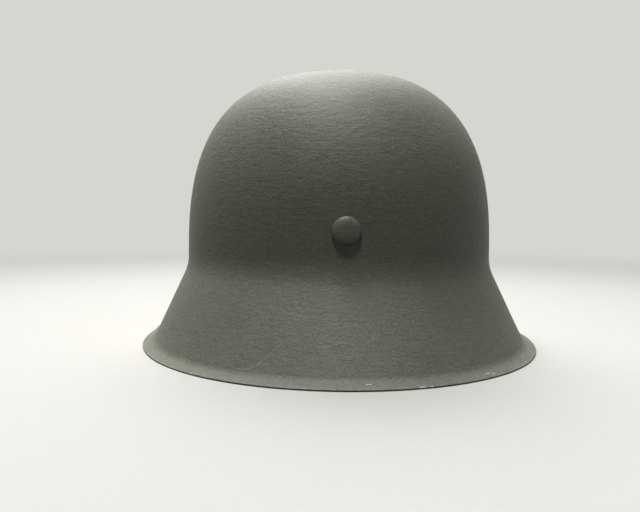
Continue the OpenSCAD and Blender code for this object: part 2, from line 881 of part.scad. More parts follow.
module stud(side) {
  reach = layer_off + strap_mid + touch;
  color(steel)
    translate([side * bar.x, hinge_y, bar.y - stud_drop])
      pointing_out()
        union() {
          cylinder(r = stud_shank_r, h = 2 * reach + stud_head_h, center = true);
          for (s = [-1, 1])
            translate([0, 0, s * (reach + stud_head_h / 2)])
              cylinder(r = stud_d / 2, h = stud_head_h, center = true);
        }
}

buckle_bend = 3;
prong_eye = 0.9;
module buckle_frame() {
  color(steel)
    translate([-buckle_x, hinge_y, buckle_z])
      rotate([0, -90, 0])
        wire_loop(buckle_w, buckle_l, buckle_r, buckle_bend);
}

module buckle_prong() {
  outer = buckle_r + hinge_play + prong_eye;
  color(steel)
    translate([-buckle_x, hinge_y, buckle_z])
      difference() {
        union() {
          rotate([90, 0, 0])
            cylinder(r = outer, h = prong_w, center = true);
          translate([0, -prong_w / 2, buckle_r + touch])
            cube([buckle_l + buckle_r, prong_w, prong_t]);
        }
        rotate([90, 0, 0])
          cylinder(r = buckle_r + hinge_play, h = 2 * prong_w, center = true);
      }
}

module rear_rivet() split_rivet(180);
module left_rivet() split_rivet(-rivet_side_t);
module right_rivet() split_rivet(rivet_side_t);
module rear_washer() washer(180);
module left_washer() washer(-rivet_side_t);
module right_washer() washer(rivet_side_t);
module spring_front_left() bow_spring(spring_turns[0]);
module spring_front_right() bow_spring(spring_turns[1]);
module spring_rear_right() bow_spring(spring_turns[2]);
module spring_rear_left() bow_spring(spring_turns[3]);
module front_felt() felt(0);
module rear_felt() felt(180);
module left_bracket() bracket(-1);
module right_bracket() bracket(1);
module left_bale() bale(-1);
module right_bale() bale(1);
module left_stud() stud(-1);
module right_stud() stud(1);

shell();
rear_rivet();
left_rivet();
right_rivet();
rear_washer();
left_washer();
right_washer();
outer_band();
inner_band();
spring_front_left();
spring_front_right();
spring_rear_left();
spring_rear_right();
spring_rivets();
front_felt();
rear_felt();
leather_liner();
liner_clips();
left_bracket();
right_bracket();
bracket_rivets();
left_bale();
right_bale();
left_stud();
right_stud();
short_strap();
long_strap();
buckle_frame();
buckle_prong();
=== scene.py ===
# Looks of the steel helmet, built round its packed frame and laid out as an add-on that is run as a script.
# Lengths are in metres. +X is the wearer's right, +Y is forwards, +Z is up, and the rim stands on z = 0.
import json
from math import acos, atan, atan2, cos, exp, hypot, pi, radians, sin, sqrt, tan
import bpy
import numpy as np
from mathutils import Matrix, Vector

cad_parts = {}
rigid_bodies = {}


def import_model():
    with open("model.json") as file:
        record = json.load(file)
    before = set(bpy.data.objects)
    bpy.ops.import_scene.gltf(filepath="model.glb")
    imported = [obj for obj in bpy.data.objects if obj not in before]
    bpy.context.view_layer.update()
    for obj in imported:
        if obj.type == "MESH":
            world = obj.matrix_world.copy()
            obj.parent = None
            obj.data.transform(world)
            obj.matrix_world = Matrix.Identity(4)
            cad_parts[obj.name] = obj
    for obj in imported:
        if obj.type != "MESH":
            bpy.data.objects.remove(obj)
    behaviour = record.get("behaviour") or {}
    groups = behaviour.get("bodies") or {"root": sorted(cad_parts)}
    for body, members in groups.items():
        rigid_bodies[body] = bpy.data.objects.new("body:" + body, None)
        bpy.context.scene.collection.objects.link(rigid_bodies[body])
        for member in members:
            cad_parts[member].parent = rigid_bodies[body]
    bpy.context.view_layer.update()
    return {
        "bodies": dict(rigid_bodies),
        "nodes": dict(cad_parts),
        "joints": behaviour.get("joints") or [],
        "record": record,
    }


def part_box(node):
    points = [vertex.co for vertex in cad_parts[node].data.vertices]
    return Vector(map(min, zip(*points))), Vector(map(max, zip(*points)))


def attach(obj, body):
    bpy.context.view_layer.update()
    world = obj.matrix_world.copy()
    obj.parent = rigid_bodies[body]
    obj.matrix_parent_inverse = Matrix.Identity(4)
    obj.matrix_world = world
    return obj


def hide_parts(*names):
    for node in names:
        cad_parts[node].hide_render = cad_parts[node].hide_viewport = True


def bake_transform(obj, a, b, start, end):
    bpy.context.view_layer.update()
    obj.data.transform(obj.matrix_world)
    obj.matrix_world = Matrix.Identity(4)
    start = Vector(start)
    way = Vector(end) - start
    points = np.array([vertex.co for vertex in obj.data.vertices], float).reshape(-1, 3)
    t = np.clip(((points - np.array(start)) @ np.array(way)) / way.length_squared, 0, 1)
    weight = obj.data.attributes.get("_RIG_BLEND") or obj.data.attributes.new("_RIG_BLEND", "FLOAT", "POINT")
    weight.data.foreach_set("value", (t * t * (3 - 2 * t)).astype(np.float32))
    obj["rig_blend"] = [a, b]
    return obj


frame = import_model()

from types import SimpleNamespace

import bmesh
import bpy
from bpy.props import FloatProperty, FloatVectorProperty, PointerProperty
from mathutils import Matrix, Vector, kdtree, noise

bl_info = {
    "name": "Steel helmet",
    "version": (1, 0, 0),
    "blender": (4, 5, 0),
    "location": "View3D > Sidebar > Helmet",
    "description": "Paints and dresses a packed steel helmet, its liner and its chin strap",
    "category": "Object",
}


# Properties

def length_property(name, description, default):
    return FloatProperty(name=name, description=description, default=default, unit="LENGTH", precision=4)


def angle_property(name, description, default):
    return FloatProperty(name=name, description=description, default=radians(default), subtype="ANGLE")


def plain_property(name, description, default):
    return FloatProperty(name=name, description=description, default=default, precision=3)


def colour_property(name, description, default):
    return FloatVectorProperty(
        name=name, description=description, default=default, subtype="COLOR", size=3, min=0, max=1
    )


class ShellSizes(bpy.types.PropertyGroup):
    """The steel sheet, with the sizes of the frame's own shell"""

    dome_length: length_property("Dome length", "Front to back at the waist, outside", 0.224)
    dome_width: length_property("Dome width", "Side to side at the waist, outside", 0.188)
    shell_height: length_property("Height", "Crown above the rim, outside", 0.165)
    wall: length_property("Wall", "Thickness of the sheet", 0.0012)
    egg: plain_property("Egg", "How much wider the nape is than the brow, as a share of the width", 0.03)
    crown_fullness: plain_property("Fullness", "2 is an ellipse, and more is squarer", 2.65)
    waist_front: length_property("Waist at the brow", "Height of the waist at the brow", 0.062)
    waist_side: length_property("Waist at the sides", "Height of the waist at the sides", 0.0525)
    waist_rear: length_property("Waist at the nape", "Height of the waist at the nape", 0.057)
    waist_radius: length_property("Waist radius", "Radius of the bend at the waist", 0.026)
    visor_angle: angle_property("Visor lean", "Lean of the visor from the vertical", 45)
    side_angle: angle_property("Side lean", "Lean of the side skirt from the vertical", 24.5)
    nape_angle: angle_property("Neck guard lean", "Lean of the neck guard from the vertical", 35)
    visor_rise: length_property("Visor rise", "Height of the visor's edge above the skirt's", 0.026)
    ear_front: angle_property("Ear, front", "Where the edge starts to drop behind the visor", 56)
    ear_back: angle_property("Ear, back", "Where the edge has come down behind the ear", 90)
    lip_radius: length_property("Lip radius", "Radius of the bend between the skirt and the lip", 0.0064)
    lip_angle: angle_property("Lip lean", "Lean of the lip from the vertical", 68)
    lip_flat: length_property("Lip width", "Width of the flat part of the lip", 0.0048)
    rest_wear: length_property("Wear", "Depth to which the edge is worn flat where it stands", 0.00025)
    edge_round: length_property("Edge rounding", "Radius of the raw edge's two corners", 0.0003)
    unevenness: length_property("Unevenness", "How far the pressed sheet strays from its true form", 0.00022)


class VentSizes(bpy.types.PropertyGroup):
    """The two vents pressed up in the sheet"""

    height: length_property("Height", "Height of the vents", 0.096)
    turn: angle_property("Turn", "Turn of the vents from the brow", 84.375)
    hole_radius: length_property("Hole radius", "Radius of the hole", 0.0025)
    ring_radius: length_property("Ring radius", "Radius of the raised ring", 0.0052)
    ring_height: length_property("Ring height", "Height of the ring above the sheet", 0.0013)
    field: length_property("Field", "Radius inside which the sheet is drawn up towards the ring", 0.0064)


class RivetSizes(bpy.types.PropertyGroup):
    """The three split rivets and their washers"""

    height: length_property("Height", "Height of the rivets", 0.070)
    side_turn: angle_property("Side turn", "Turn of the side rivets from the brow", 56.25)
    head_diameter: length_property("Head diameter", "Diameter of the head", 0.0145)
    head_height: length_property("Head height", "Height of the head", 0.0031)
    head_rim: length_property("Head rim", "Height of the head's straight rim", 0.0005)
    prong_length: length_property("Prong length", "From the rivet's middle to a prong's end", 0.0095)
    prong_width: length_property("Prong width", "Width of a prong", 0.004)
    prong_thick: length_property("Prong thickness", "Thickness of a prong", 0.0014)
    washer_width: length_property("Washer width", "Side of the square washer", 0.012)
    washer_thick: length_property("Washer thickness", "Thickness of the washer", 0.0008)


class LinerSizes(bpy.types.PropertyGroup):
    """The bands, the felt and the leather inside the dome"""

    play: length_property("Play", "Gap between the shell and the outer band", 0.0003)
    touch: length_property("Touch", "Gap between pieces that lie on each other", 0.0001)
    outer_thick: length_property("Outer band thickness", "Thickness of the outer band", 0.001)
    outer_height: length_property("Outer band height", "Height of the outer band", 0.022)
    inner_thick: length_property("Inner band thickness", "Thickness of the inner band", 0.0008)
    inner_height: length_property("Inner band height", "Height of the inner band", 0.019)
    spring_gap: length_property("Spring gap", "Space between the bands", 0.0046)
    spring_height: length_property("Spring height", "Height of a bow spring", 0.009)
    felt_thick: length_property("Felt thickness", "Thickness of the felt", 0.0026)
    felt_edge: length_property("Felt edge", "Felt's edge inside the band's edge", 0.001)
    felt_half_turn: angle_property("Felt half turn", "Half the turn that a felt covers", 52.5)
    leather_thick: length_property("Leather thickness", "Thickness of the liner leather", 0.0012)
    root_height: length_property("Finger roots", "Height at which the fingers begin", 0.082)
    finger_rise: length_property("Finger rise", "From the roots to the fingers' pole", 0.062)
    finger_reach: angle_property("Finger reach", "How far the fingers reach towards their pole", 72)
    air_hole_radius: length_property("Air hole radius", "Radius of an air hole", 0.0022)
    lace_hole_radius: length_property("Lace hole radius", "Radius of a tip's lace hole", 0.0016)
    finger_slit: plain_property("Slit", "How much narrower a finger is than its root", 0.14)
    slit_depth: plain_property("Slit depth", "Where the slit has opened, as a share of the finger", 0.08)
    tip_fall: plain_property("Tip fall", "How much of the tip's width is rounded away", 0.85)
    tip_roundness: plain_property("Tip roundness", "How late the rounding starts", 8)
    sway: length_property("Sway", "How far the fingers stray from their form", 0.0012)
    rivet_radius: length_property("Small rivet radius", "Radius of the springs' rivets", 0.0011)
    bracket_rivet_radius: length_property("Bracket rivet radius", "Radius of the brackets' rivets", 0.0013)
    bracket_rivet_out: length_property("Bracket rivets", "From a bracket's middle to its rivets", 0.004)
    hole_play: length_property("Hole play", "Gap round a small rivet", 0.00025)
    spring_half_turn: angle_property("Spring half turn", "From a spring's middle to its end rivets", 12)


class StrapSizes(bpy.types.PropertyGroup):
    """The chin strap's two halves, from their bales to the ground"""

    width: length_property("Width", "Width of the strap", 0.015)
    thick: length_property("Thickness", "Thickness of the strap", 0.0018)
    wire: length_property("Bale wire", "Diameter of the bale's wire", 0.003)
    buckle_wire: length_property("Buckle wire", "Diameter of the buckle's wire", 0.0028)
    buckle_at: length_property("Buckle place", "From the helmet's middle to the buckle's bar", 0.034)
    soft_gap: length_property("Soft gap", "Gap between the leather and a wire", 0.0003)
    touch: length_property("Touch", "Gap between layers that lie on each other", 0.0001)
    bend: length_property("Bend", "Radius of the bend on the ground", 0.007)
    fold_radius: length_property("Fold radius", "Radius of the long half's folds", 0.004)
    pinch_drop: length_property("Pinch drop", "From the bale's bar to where the layers meet", 0.008)
    stud_drop: length_property("Stud drop", "From the bale's bar to the stud", 0.013)
    tail_drop: length_property("Tail drop", "From the bale's bar to the tail's end", 0.020)
    stud_hole: length_property("Stud hole", "Radius of the stud's hole", 0.0017)
    first_fold: length_property("First fold", "Place of the long half's first fold", 0.006)
    second_fold: length_property("Second fold", "Place of the long half's second fold", 0.068)
    settle: length_property("Settle", "Length in which a fold comes down", 0.014)
    end_at: length_property("End", "Place of the long half's end", 0.024)
    point_length: length_property("Point", "Length of the rounded point", 0.009)
    first_hole: length_property("First hole", "From the end to the first adjusting hole", 0.010)
    hole_pitch: length_property("Hole pitch", "Between adjusting holes", 0.008)
    hole_radius: length_property("Hole radius", "Radius of an adjusting hole", 0.0013)
    buckle_settle: length_property("Buckle settle", "Length in which the buckle's fold comes down", 0.010)
    short_tail: length_property("Short tail", "From the buckle to the short half's end", 0.018)
    slot_length: length_property("Slot length", "Length of the prong's slot", 0.0105)
    slot_width: length_property("Slot width", "Width of the prong's slot", 0.0036)
    crease: length_property("Crease", "From the strap's edge to its pressed crease", 0.0019)


class Colours(bpy.types.PropertyGroup):
    """Base colours of the finishes"""

    paint: colour_property("Paint", "Slate grey paint of the shell", (0.212, 0.208, 0.163))
    # Lighter paint on the raw edge: real wear, and also a painted highlight along the lip's edge
    paint_worn_and_highlight: colour_property("Worn paint", "Paint rubbed thin on the edge", (0.30, 0.30, 0.27))
    bare_steel: colour_property("Bare steel", "Bright nicks in the edge", (0.62, 0.61, 0.58))
    zinc: colour_property("Zinc", "Zinc of the bands and washers", (0.50, 0.51, 0.50))
    zinc_stain: colour_property("Zinc stain", "Dull bloom on the zinc", (0.30, 0.30, 0.28))
    wire: colour_property("Wire", "Drawn wire of the bales and buckle", (0.34, 0.34, 0.33))
    rust: colour_property("Rust", "Light rust on wire and springs", (0.16, 0.075, 0.035))
    spring: colour_property("Spring steel", "Blued spring steel", (0.16, 0.17, 0.20))
    felt: colour_property("Felt", "Grey wool felt", (0.24, 0.23, 0.20))
    leather: colour_property("Liner leather", "Tanned leather of the liner", (0.40, 0.235, 0.115))
    leather_dark: colour_property("Handled leather", "Leather darkened by hands", (0.20, 0.105, 0.050))
    strap: colour_property("Strap leather", "Black leather of the chin strap", (0.030, 0.025, 0.021))
    floor: colour_property("Floor", "Pale floor", (0.68, 0.665, 0.63))


class CameraPlace(bpy.types.PropertyGroup):
    """The photograph's point of view"""

    distance: length_property("Distance", "From the helmet's middle to the camera, over the ground", 0.445)
    height: length_property("Height", "Height of the lens above the ground", 0.0786)
    round_by: angle_property("Round by", "How far the camera stands round from straight behind", 2.27)
    aim_right: angle_property("Aim right", "How far right of +Y the camera looks", 0.80)
    aim_down: angle_property("Aim down", "How far down the camera looks", 3.55)
    roll: angle_property("Roll", "How far the picture is turned clockwise", 0.405)
    lens: plain_property("Lens", "Focal length in millimetres on a sensor 36 mm wide", 38.91)


PROPERTY_GROUPS = {
    "helmet_shell": ShellSizes,
    "helmet_vents": VentSizes,
    "helmet_rivets": RivetSizes,
    "helmet_liner": LinerSizes,
    "helmet_strap": StrapSizes,
    "helmet_colours": Colours,
    "helmet_camera": CameraPlace,
}


def values(group):
    """A property group's values as plain numbers and tuples, which are read more quickly."""
    settings = getattr(bpy.context.scene, group)
    names = PROPERTY_GROUPS[group].__annotations__
    read = {name: getattr(settings, name) for name in names}
    return SimpleNamespace(**{n: v if isinstance(v, float) else tuple(v) for n, v in read.items()})


# The run of the shell and of what hangs in it

def smooth(x):
    x = min(1.0, max(0.0, x))
    return x * x * (3 - 2 * x)


def blend(a, b, share):
    return a + (b - a) * share


def spread(start, end, count):
    """Evenly spaced values after start, up to end."""
    return [blend(start, end, (i + 1) / count) for i in range(count)]


def rounded_corner(before, corner, after, radius, steps=3):
    """Points of the curve that takes a corner's place."""
    start = corner + (before - corner).normalized() * radius
    end = corner + (after - corner).normalized() * radius
    shares = [i / steps for i in range(steps + 1)]
    return [start * (1 - a) ** 2 + corner * 2 * a * (1 - a) + end * a * a for a in shares]


def rounded_outline(corners, radius):
    """A closed outline of flat points with its corners rounded."""
    corners = [Vector(corner) for corner in corners]
    count = len(corners)
    rounds = [
        rounded_corner(corners[i - 1], corners[i], corners[(i + 1) % count], radius) for i in range(count)
    ]
    return [tuple(point) for part in rounds for point in part]


def arc(middle, radius, start, end, steps):
    """Flat points round a middle, from one angle in degrees to another."""
    angles = [radians(blend(start, end, i / steps)) for i in range(steps + 1)]
    return [Vector((middle[0] + radius * cos(a), middle[1] + radius * sin(a))) for a in angles]


class ShellForm:
    """Where the sheet runs. A turn goes round the plan: 0 is the brow, pi / 2 the wearer's right and pi the
    nape. A stage goes down the profile: 0 is the crown, 1 the waist, 2 the end of its bend, 3 the end of the
    skirt, 4 the end of the lip's bend and 5 the edge."""

    def __init__(self):
        self.s = values("helmet_shell")
        self.vents = values("helmet_vents")
        s = self.s
        self.half_width = s.dome_width / 2
        self.half_length = s.dome_length / 2
        self.edge_rest = s.wall * sin(s.lip_angle) - s.rest_wear
        self.centre_y = (self.skirt(pi, 5)[0] - self.skirt(0, 5)[0]) / 2
        self.vent_axes = [self.vent_axis(side) for side in (-1, 1)]
        self.side_turn = acos((1 - sqrt(1 + 8 * s.egg * s.egg)) / (4 * s.egg))

    def oval(self, turn):
        across = self.half_width * sin(turn) * (1 - self.s.egg * cos(turn))
        return Vector((across, self.half_length * cos(turn)))

    def slope(self, turn):
        across = self.half_width * (cos(turn) - self.s.egg * cos(2 * turn))
        return Vector((across, -self.half_length * sin(turn)))

    def outward(self, turn):
        slope = self.slope(turn)
        return Vector((-slope.y, slope.x)).normalized()

    def offset_oval(self, turn, out):
        return self.oval(turn) + self.outward(turn) * out

    def round_plan(self, turn, front, side, rear):
        end = front if cos(turn) > 0 else rear
        return side * sin(turn) ** 2 + end * cos(turn) ** 2

    def waist(self, turn):
        return self.round_plan(turn, self.s.waist_front, self.s.waist_side, self.s.waist_rear)

    def edge_height(self, turn):
        s = self.s
        from_brow = acos(max(-1.0, min(1.0, cos(turn))))
        return self.edge_rest + s.visor_rise * smooth((s.ear_back - from_brow) / (s.ear_back - s.ear_front))

    def skirt(self, turn, stage):
        """Distance out from the waist and height."""
        s = self.s
        lean = self.round_plan(turn, s.visor_angle, s.side_angle, s.nape_angle)
        waist = self.waist(turn)
        bends = s.waist_radius * sin(lean) + s.lip_radius * (sin(s.lip_angle) - sin(lean))
        run = (waist - self.edge_height(turn) - bends - s.lip_flat * cos(s.lip_angle)) / cos(lean)
        bent = lean * min(1.0, stage - 1)
        run *= min(1.0, max(0.0, stage - 2))
        curl = blend(lean, s.lip_angle, min(1.0, max(0.0, stage - 3)))
        flat = s.lip_flat * max(0.0, stage - 4)
        out = (s.waist_radius * (1 - cos(bent)) + run * sin(lean) + s.lip_radius * (cos(lean) - cos(curl))
               + flat * sin(s.lip_angle))
        drop = (s.waist_radius * sin(bent) + run * cos(lean) + s.lip_radius * (sin(curl) - sin(lean))
                + flat * cos(s.lip_angle))
        return out, waist - drop

    def in_plan(self, flat, height):
        return Vector((flat.x, flat.y + self.centre_y, height))

    def point(self, turn, stage):
        if stage > 1:
            out, height = self.skirt(turn, stage)
            return self.in_plan(self.offset_oval(turn, out), height)
        rise = pi / 2 * (1 - stage)
        power = self.s.crown_fullness
        across, up = max(0.0, cos(rise)), max(0.0, sin(rise))
        size = (across ** power + up ** power) ** (1 / power)
        waist = self.waist(turn)
        return self.in_plan(self.oval(turn) * (across / size), blend(waist, self.s.shell_height, up / size))

    def normal(self, turn, stage, step=0.002):
        if stage < 2 * step:
            return Vector((0, 0, 1))
        along = self.point(turn + step, stage) - self.point(turn - step, stage)
        down = self.point(turn, stage + step) - self.point(turn, stage - step)
        return along.cross(down).normalized()

    def at_height(self, turn, height):
        """How far up the dome a height lies, from 0 at the waist to 1, and the plan's share left there."""
        waist = self.waist(turn)
        rise = max(0.0, (height - waist) / (self.s.shell_height - waist))
        return rise, (1 - rise ** self.s.crown_fullness) ** (1 / self.s.crown_fullness)

    def drawn_in(self, turn, height):
        return (1 - self.at_height(turn, height)[1]) * self.oval(turn).dot(self.outward(turn))

    def vent_axis(self, side):
        """The middle of a vent on the sheet, and the way that it faces."""
        turn, height = side * self.vents.turn, self.vents.height
        rise, share = self.at_height(turn, height)
        out = self.outward(turn)
        reach = self.oval(turn).dot(out)
        tall = self.s.shell_height - self.waist(turn)
        lean = atan((rise / share) ** (self.s.crown_fullness - 1) * reach / tall)
        middle = self.in_plan(self.oval(turn) - out * self.drawn_in(turn, height), height)
        return middle, Vector((out.x * cos(lean), out.y * cos(lean), sin(lean)))

    def vent_lift(self, from_axis):
        """Height of the pressed ring at a distance from the vent's axis. It rolls over into the hole."""
        vents = self.vents
        crest = (vents.hole_radius + vents.ring_radius) / 2
        inner_end = 0.85 * vents.hole_radius
        if from_axis > vents.field:
            return 0.0
        if from_axis > crest:
            return vents.ring_height * (0.5 + 0.5 * cos(pi * (from_axis - crest) / (vents.field - crest)))
        fallen = (crest - from_axis) / (crest - inner_end)
        return vents.ring_height * sqrt(max(0.0, 1 - fallen * fallen))

    def sheet(self, turn, stage, depth):
        """A point of the sheet, a depth below its outside, with its unevenness and its vents."""
        out = self.normal(turn, stage)
        point = self.point(turn, stage)
        stray = 0.5 + 0.5 * noise.noise(point * 24) + 0.12 * noise.noise(point * 90)
        point -= out * (depth + self.s.unevenness * min(1.0, max(0.0, stray)) * smooth(stage * 4))
        for middle, axis in self.vent_axes:
            away = point - middle
            along = away.dot(axis)
            if abs(along) < self.vents.field:
                point += axis * self.vent_lift((away - axis * along).length)
        point.z = max(0.0, point.z)
        return point

    def band_lean(self, turn, low, high):
        return atan((self.drawn_in(turn, high) - self.drawn_in(turn, low)) / (high - low))

    def plan_radius(self, turn):
        return self.slope(turn).length ** 3 / (self.half_length * self.half_width)


class LinerForm:
    """Where the liner hangs. Insets run inwards from the chord of the dome's outside at the bands."""

    def __init__(self, shell):
        self.shell = shell
        self.s = values("helmet_liner")
        self.rivets = values("helmet_rivets")
        s = self.s
        middle = self.rivets.height
        self.low = middle - s.outer_height / 2
        self.high = middle + s.outer_height / 2
        self.outer_out = shell.s.wall + s.play
        self.outer_in = self.outer_out + s.outer_thick
        self.inner_out = self.outer_in + s.spring_gap
        self.inner_in = self.inner_out + s.inner_thick
        self.inner_low = middle - s.inner_height / 2
        self.felt_out = self.inner_in + s.play
        self.felt_in = self.felt_out + s.felt_thick
        self.leather_out = self.felt_in + s.play
        self.leather_in = self.leather_out + s.leather_thick

    def lean(self, turn):
        return self.shell.band_lean(turn, self.low, self.high)

    def chord(self, turn, height):
        return self.shell.drawn_in(turn, self.low) + (height - self.low) * tan(self.lean(turn))

    def point(self, turn, inset, height):
        shell = self.shell
        return shell.in_plan(shell.offset_oval(turn, -self.chord(turn, height) - inset), height)

    def frame(self, turn):
        """The place of a fitting on the chord, with its +X outwards and leaning as the bands do."""
        out = self.shell.outward(turn)
        place = Matrix.Translation(self.point(turn, 0, self.rivets.height))
        place @= Matrix.Rotation(atan2(out.y, out.x), 4, "Z")
        return place @ Matrix.Rotation(-self.lean(turn), 4, "Y")

    def sag(self, turn, half):
        return half * half / (2 * self.shell.plan_radius(turn))

    def plate(self, out, inward, low, high):
        """Section of a band or a felt, as insets and heights."""
        return [(out, low), (out, high), (inward, high), (inward, low)]

    def leather_rows(self):
        """The leather's middle, from the hem down, round the inner band's lower edge and up to the roots."""
        s = self.s
        bend = s.play + s.leather_thick / 2
        deep = (self.leather_out + self.leather_in) / 2
        hem = (self.inner_out - bend, self.rivets.height - s.spring_height / 2 - 2 * s.play)
        rows = [hem] + [(hem[0], z) for z in spread(hem[1], self.inner_low, 4)[:-1]]
        rows += arc((self.inner_out, self.inner_low), bend, 180, 270, 6)
        rows += arc((deep - bend, self.inner_low), bend, 270, 360, 6)
        rows += [(deep, z) for z in spread(self.inner_low, s.root_height, 12)]
        return [tuple(row) for row in rows]

    def finger_normal(self, turn, along):
        rise = along * self.s.finger_reach
        out = self.shell.outward(turn)
        half = self.shell.oval(turn).dot(out) - self.leather_out
        tall = self.s.finger_rise
        return Vector((out.x * cos(rise) * tall, out.y * cos(rise) * tall, half * sin(rise))).normalized()

    def finger_point(self, turn, along):
        """The middle of the leather, from a finger's root at 0 to its tip at 1."""
        s, rise = self.s, along * self.s.finger_reach
        root = self.shell.offset_oval(turn, -self.chord(turn, s.root_height) - self.leather_out)
        point = self.shell.in_plan(root * cos(rise), s.root_height + s.finger_rise * sin(rise))
        return point - self.finger_normal(turn, along) * s.leather_thick / 2

    def finger_share(self, along):
        """A finger's half width as a share of its root's."""
        s = self.s
        slit = 1 - s.finger_slit * smooth(along / s.slit_depth)
        return slit * sqrt(1 - s.tip_fall * along ** s.tip_roundness)


# Modelling

def deselect():
    bpy.ops.object.select_all(action="DESELECT")


def only(piece):
    """Selects one piece alone and makes it active."""
    deselect()
    piece.select_set(True)
    bpy.context.view_layer.objects.active = piece


def edit(piece, select="SELECT"):
    """Goes into edit mode on a piece with all of it selected, or none."""
    only(piece)
    bpy.ops.object.mode_set(mode="EDIT")
    bpy.ops.mesh.select_all(action=select)
    return bmesh.from_edit_mesh(piece.data)


def leave_edit(piece):
    bmesh.update_edit_mesh(piece.data)
    bpy.ops.object.mode_set(mode="OBJECT")


def close_up(piece, angle=30):
    """Merges doubles, turns the faces outwards and smooths the piece, but for edges sharper than angle."""
    edit(piece)
    bpy.ops.mesh.remove_doubles(threshold=1e-6)
    bpy.ops.mesh.select_all(action="SELECT")
    bpy.ops.mesh.normals_make_consistent(inside=False)
    bpy.ops.object.mode_set(mode="OBJECT")
    bpy.ops.object.shade_smooth_by_angle(angle=radians(angle))
    return piece


def ring_loft(name, count, rows, place):
    """A circle extruded row by row. place(turn, *row) puts each point of a row's ring."""
    deselect()
    bpy.ops.mesh.primitive_circle_add(vertices=count, radius=1)
    piece = bpy.context.object
    piece.name = piece.data.name = name
    bpy.ops.object.mode_set(mode="EDIT")
    mesh = bmesh.from_edit_mesh(piece.data)
    turn = mesh.verts.layers.float.new("turn")
    marks = [mesh.verts.layers.float.new(f"row_{i}") for i in range(len(rows[0]))]
    for i, vertex in enumerate(mesh.verts):
        vertex[turn] = 2 * pi * i / count
    for number, row in enumerate(rows):
        if number:
            bpy.ops.mesh.extrude_region_move()
            mesh = bmesh.from_edit_mesh(piece.data)
            turn = mesh.verts.layers.float["turn"]
            marks = [mesh.verts.layers.float[f"row_{i}"] for i in range(len(row))]
        for vertex in [v for v in mesh.verts if v.select]:
            vertex.co = place(vertex[turn], *row)
            for mark, value in zip(marks, row):
                vertex[mark] = value
        bmesh.update_edit_mesh(piece.data)
    bpy.ops.object.mode_set(mode="OBJECT")
    return piece


def sweep(name, outline, steps, place):
    """A flat face extruded step by step. place(step, *point) puts each point of the outline."""
    deselect()
    bpy.ops.mesh.primitive_circle_add(vertices=len(outline), radius=1, fill_type="NGON")
    piece = bpy.context.object
    piece.name = piece.data.name = name
    bpy.ops.object.mode_set(mode="EDIT")
    mesh = bmesh.from_edit_mesh(piece.data)
    spot = mesh.verts.layers.int.new("row_spot")
    for i, vertex in enumerate(mesh.verts):
        vertex[spot] = i
    for number, step in enumerate(steps):
        if number:
            bpy.ops.mesh.extrude_region_move()
            mesh = bmesh.from_edit_mesh(piece.data)
            spot = mesh.verts.layers.int["row_spot"]
        for vertex in mesh.verts:
            if vertex.select:
                vertex.co = place(step, *outline[vertex[spot]])
        bmesh.update_edit_mesh(piece.data)
    bpy.ops.object.mode_set(mode="OBJECT")
    return piece


def drop_marks(piece):
    """Takes away what only the modelling needed."""
    for name in [a.name for a in piece.data.attributes if a.name == "turn" or a.name.startswith("row_")]:
        piece.data.attributes.remove(piece.data.attributes[name])


def refine_near(piece, middle, radius, cuts, place):
    """Subdivides the faces near a point, and puts the new points where place(turn, *row) says."""
    mesh = edit(piece, "DESELECT")
    for face in mesh.faces:
        face.select = (face.calc_center_median() - middle).length < radius
    mesh.select_flush(True)
    bmesh.update_edit_mesh(piece.data)
    bpy.ops.mesh.subdivide(number_cuts=cuts)
    mesh = bmesh.from_edit_mesh(piece.data)
    turn = mesh.verts.layers.float["turn"]
    marks = [layer for name, layer in mesh.verts.layers.float.items() if name.startswith("row_")]
    for vertex in mesh.verts:
        if vertex.select:
            vertex.co = place(vertex[turn], *[vertex[mark] for mark in marks])
    leave_edit(piece)


def cutter(places, radius, reach, sides=40):
    """One object of round bars, to be cut from a piece. Each place is a middle and a direction."""
    bars = []
    for middle, axis in places:
        deselect()
        bpy.ops.mesh.primitive_cylinder_add(vertices=sides, radius=radius, depth=reach)
        bar = bpy.context.object
        bar.data.transform(Matrix.Translation(middle) @ axis.to_track_quat("Z", "Y").to_matrix().to_4x4())
        bars.append(bar)
    return join(bars, "cutter")


def join(pieces, name):
    deselect()
    for piece in pieces:
        piece.select_set(True)
    bpy.context.view_layer.objects.active = pieces[0]
    if len(pieces) > 1:
        bpy.ops.object.join()
    piece = bpy.context.view_layer.objects.active
    piece.name = piece.data.name = name
    return piece


def modify(piece, kind, **settings):
    """Adds a modifier and applies it."""
    only(piece)
    modifier = piece.modifiers.new(kind.title(), kind)
    for name, value in settings.items():
        setattr(modifier, name, value)
    bpy.ops.object.modifier_apply(modifier=modifier.name)
    return piece


def cut(piece, bars):
    modify(piece, "BOOLEAN", operation="DIFFERENCE", solver="EXACT", object=bars)
    bpy.data.objects.remove(bars)


def copied(piece, name, place):
    """A copy with its own mesh, carried to a place."""
    twin = piece.copy()
    twin.data = piece.data.copy()
    twin.name = twin.data.name = name
    bpy.context.scene.collection.objects.link(twin)
    twin.data.transform(place)
    return twin


# Finishes

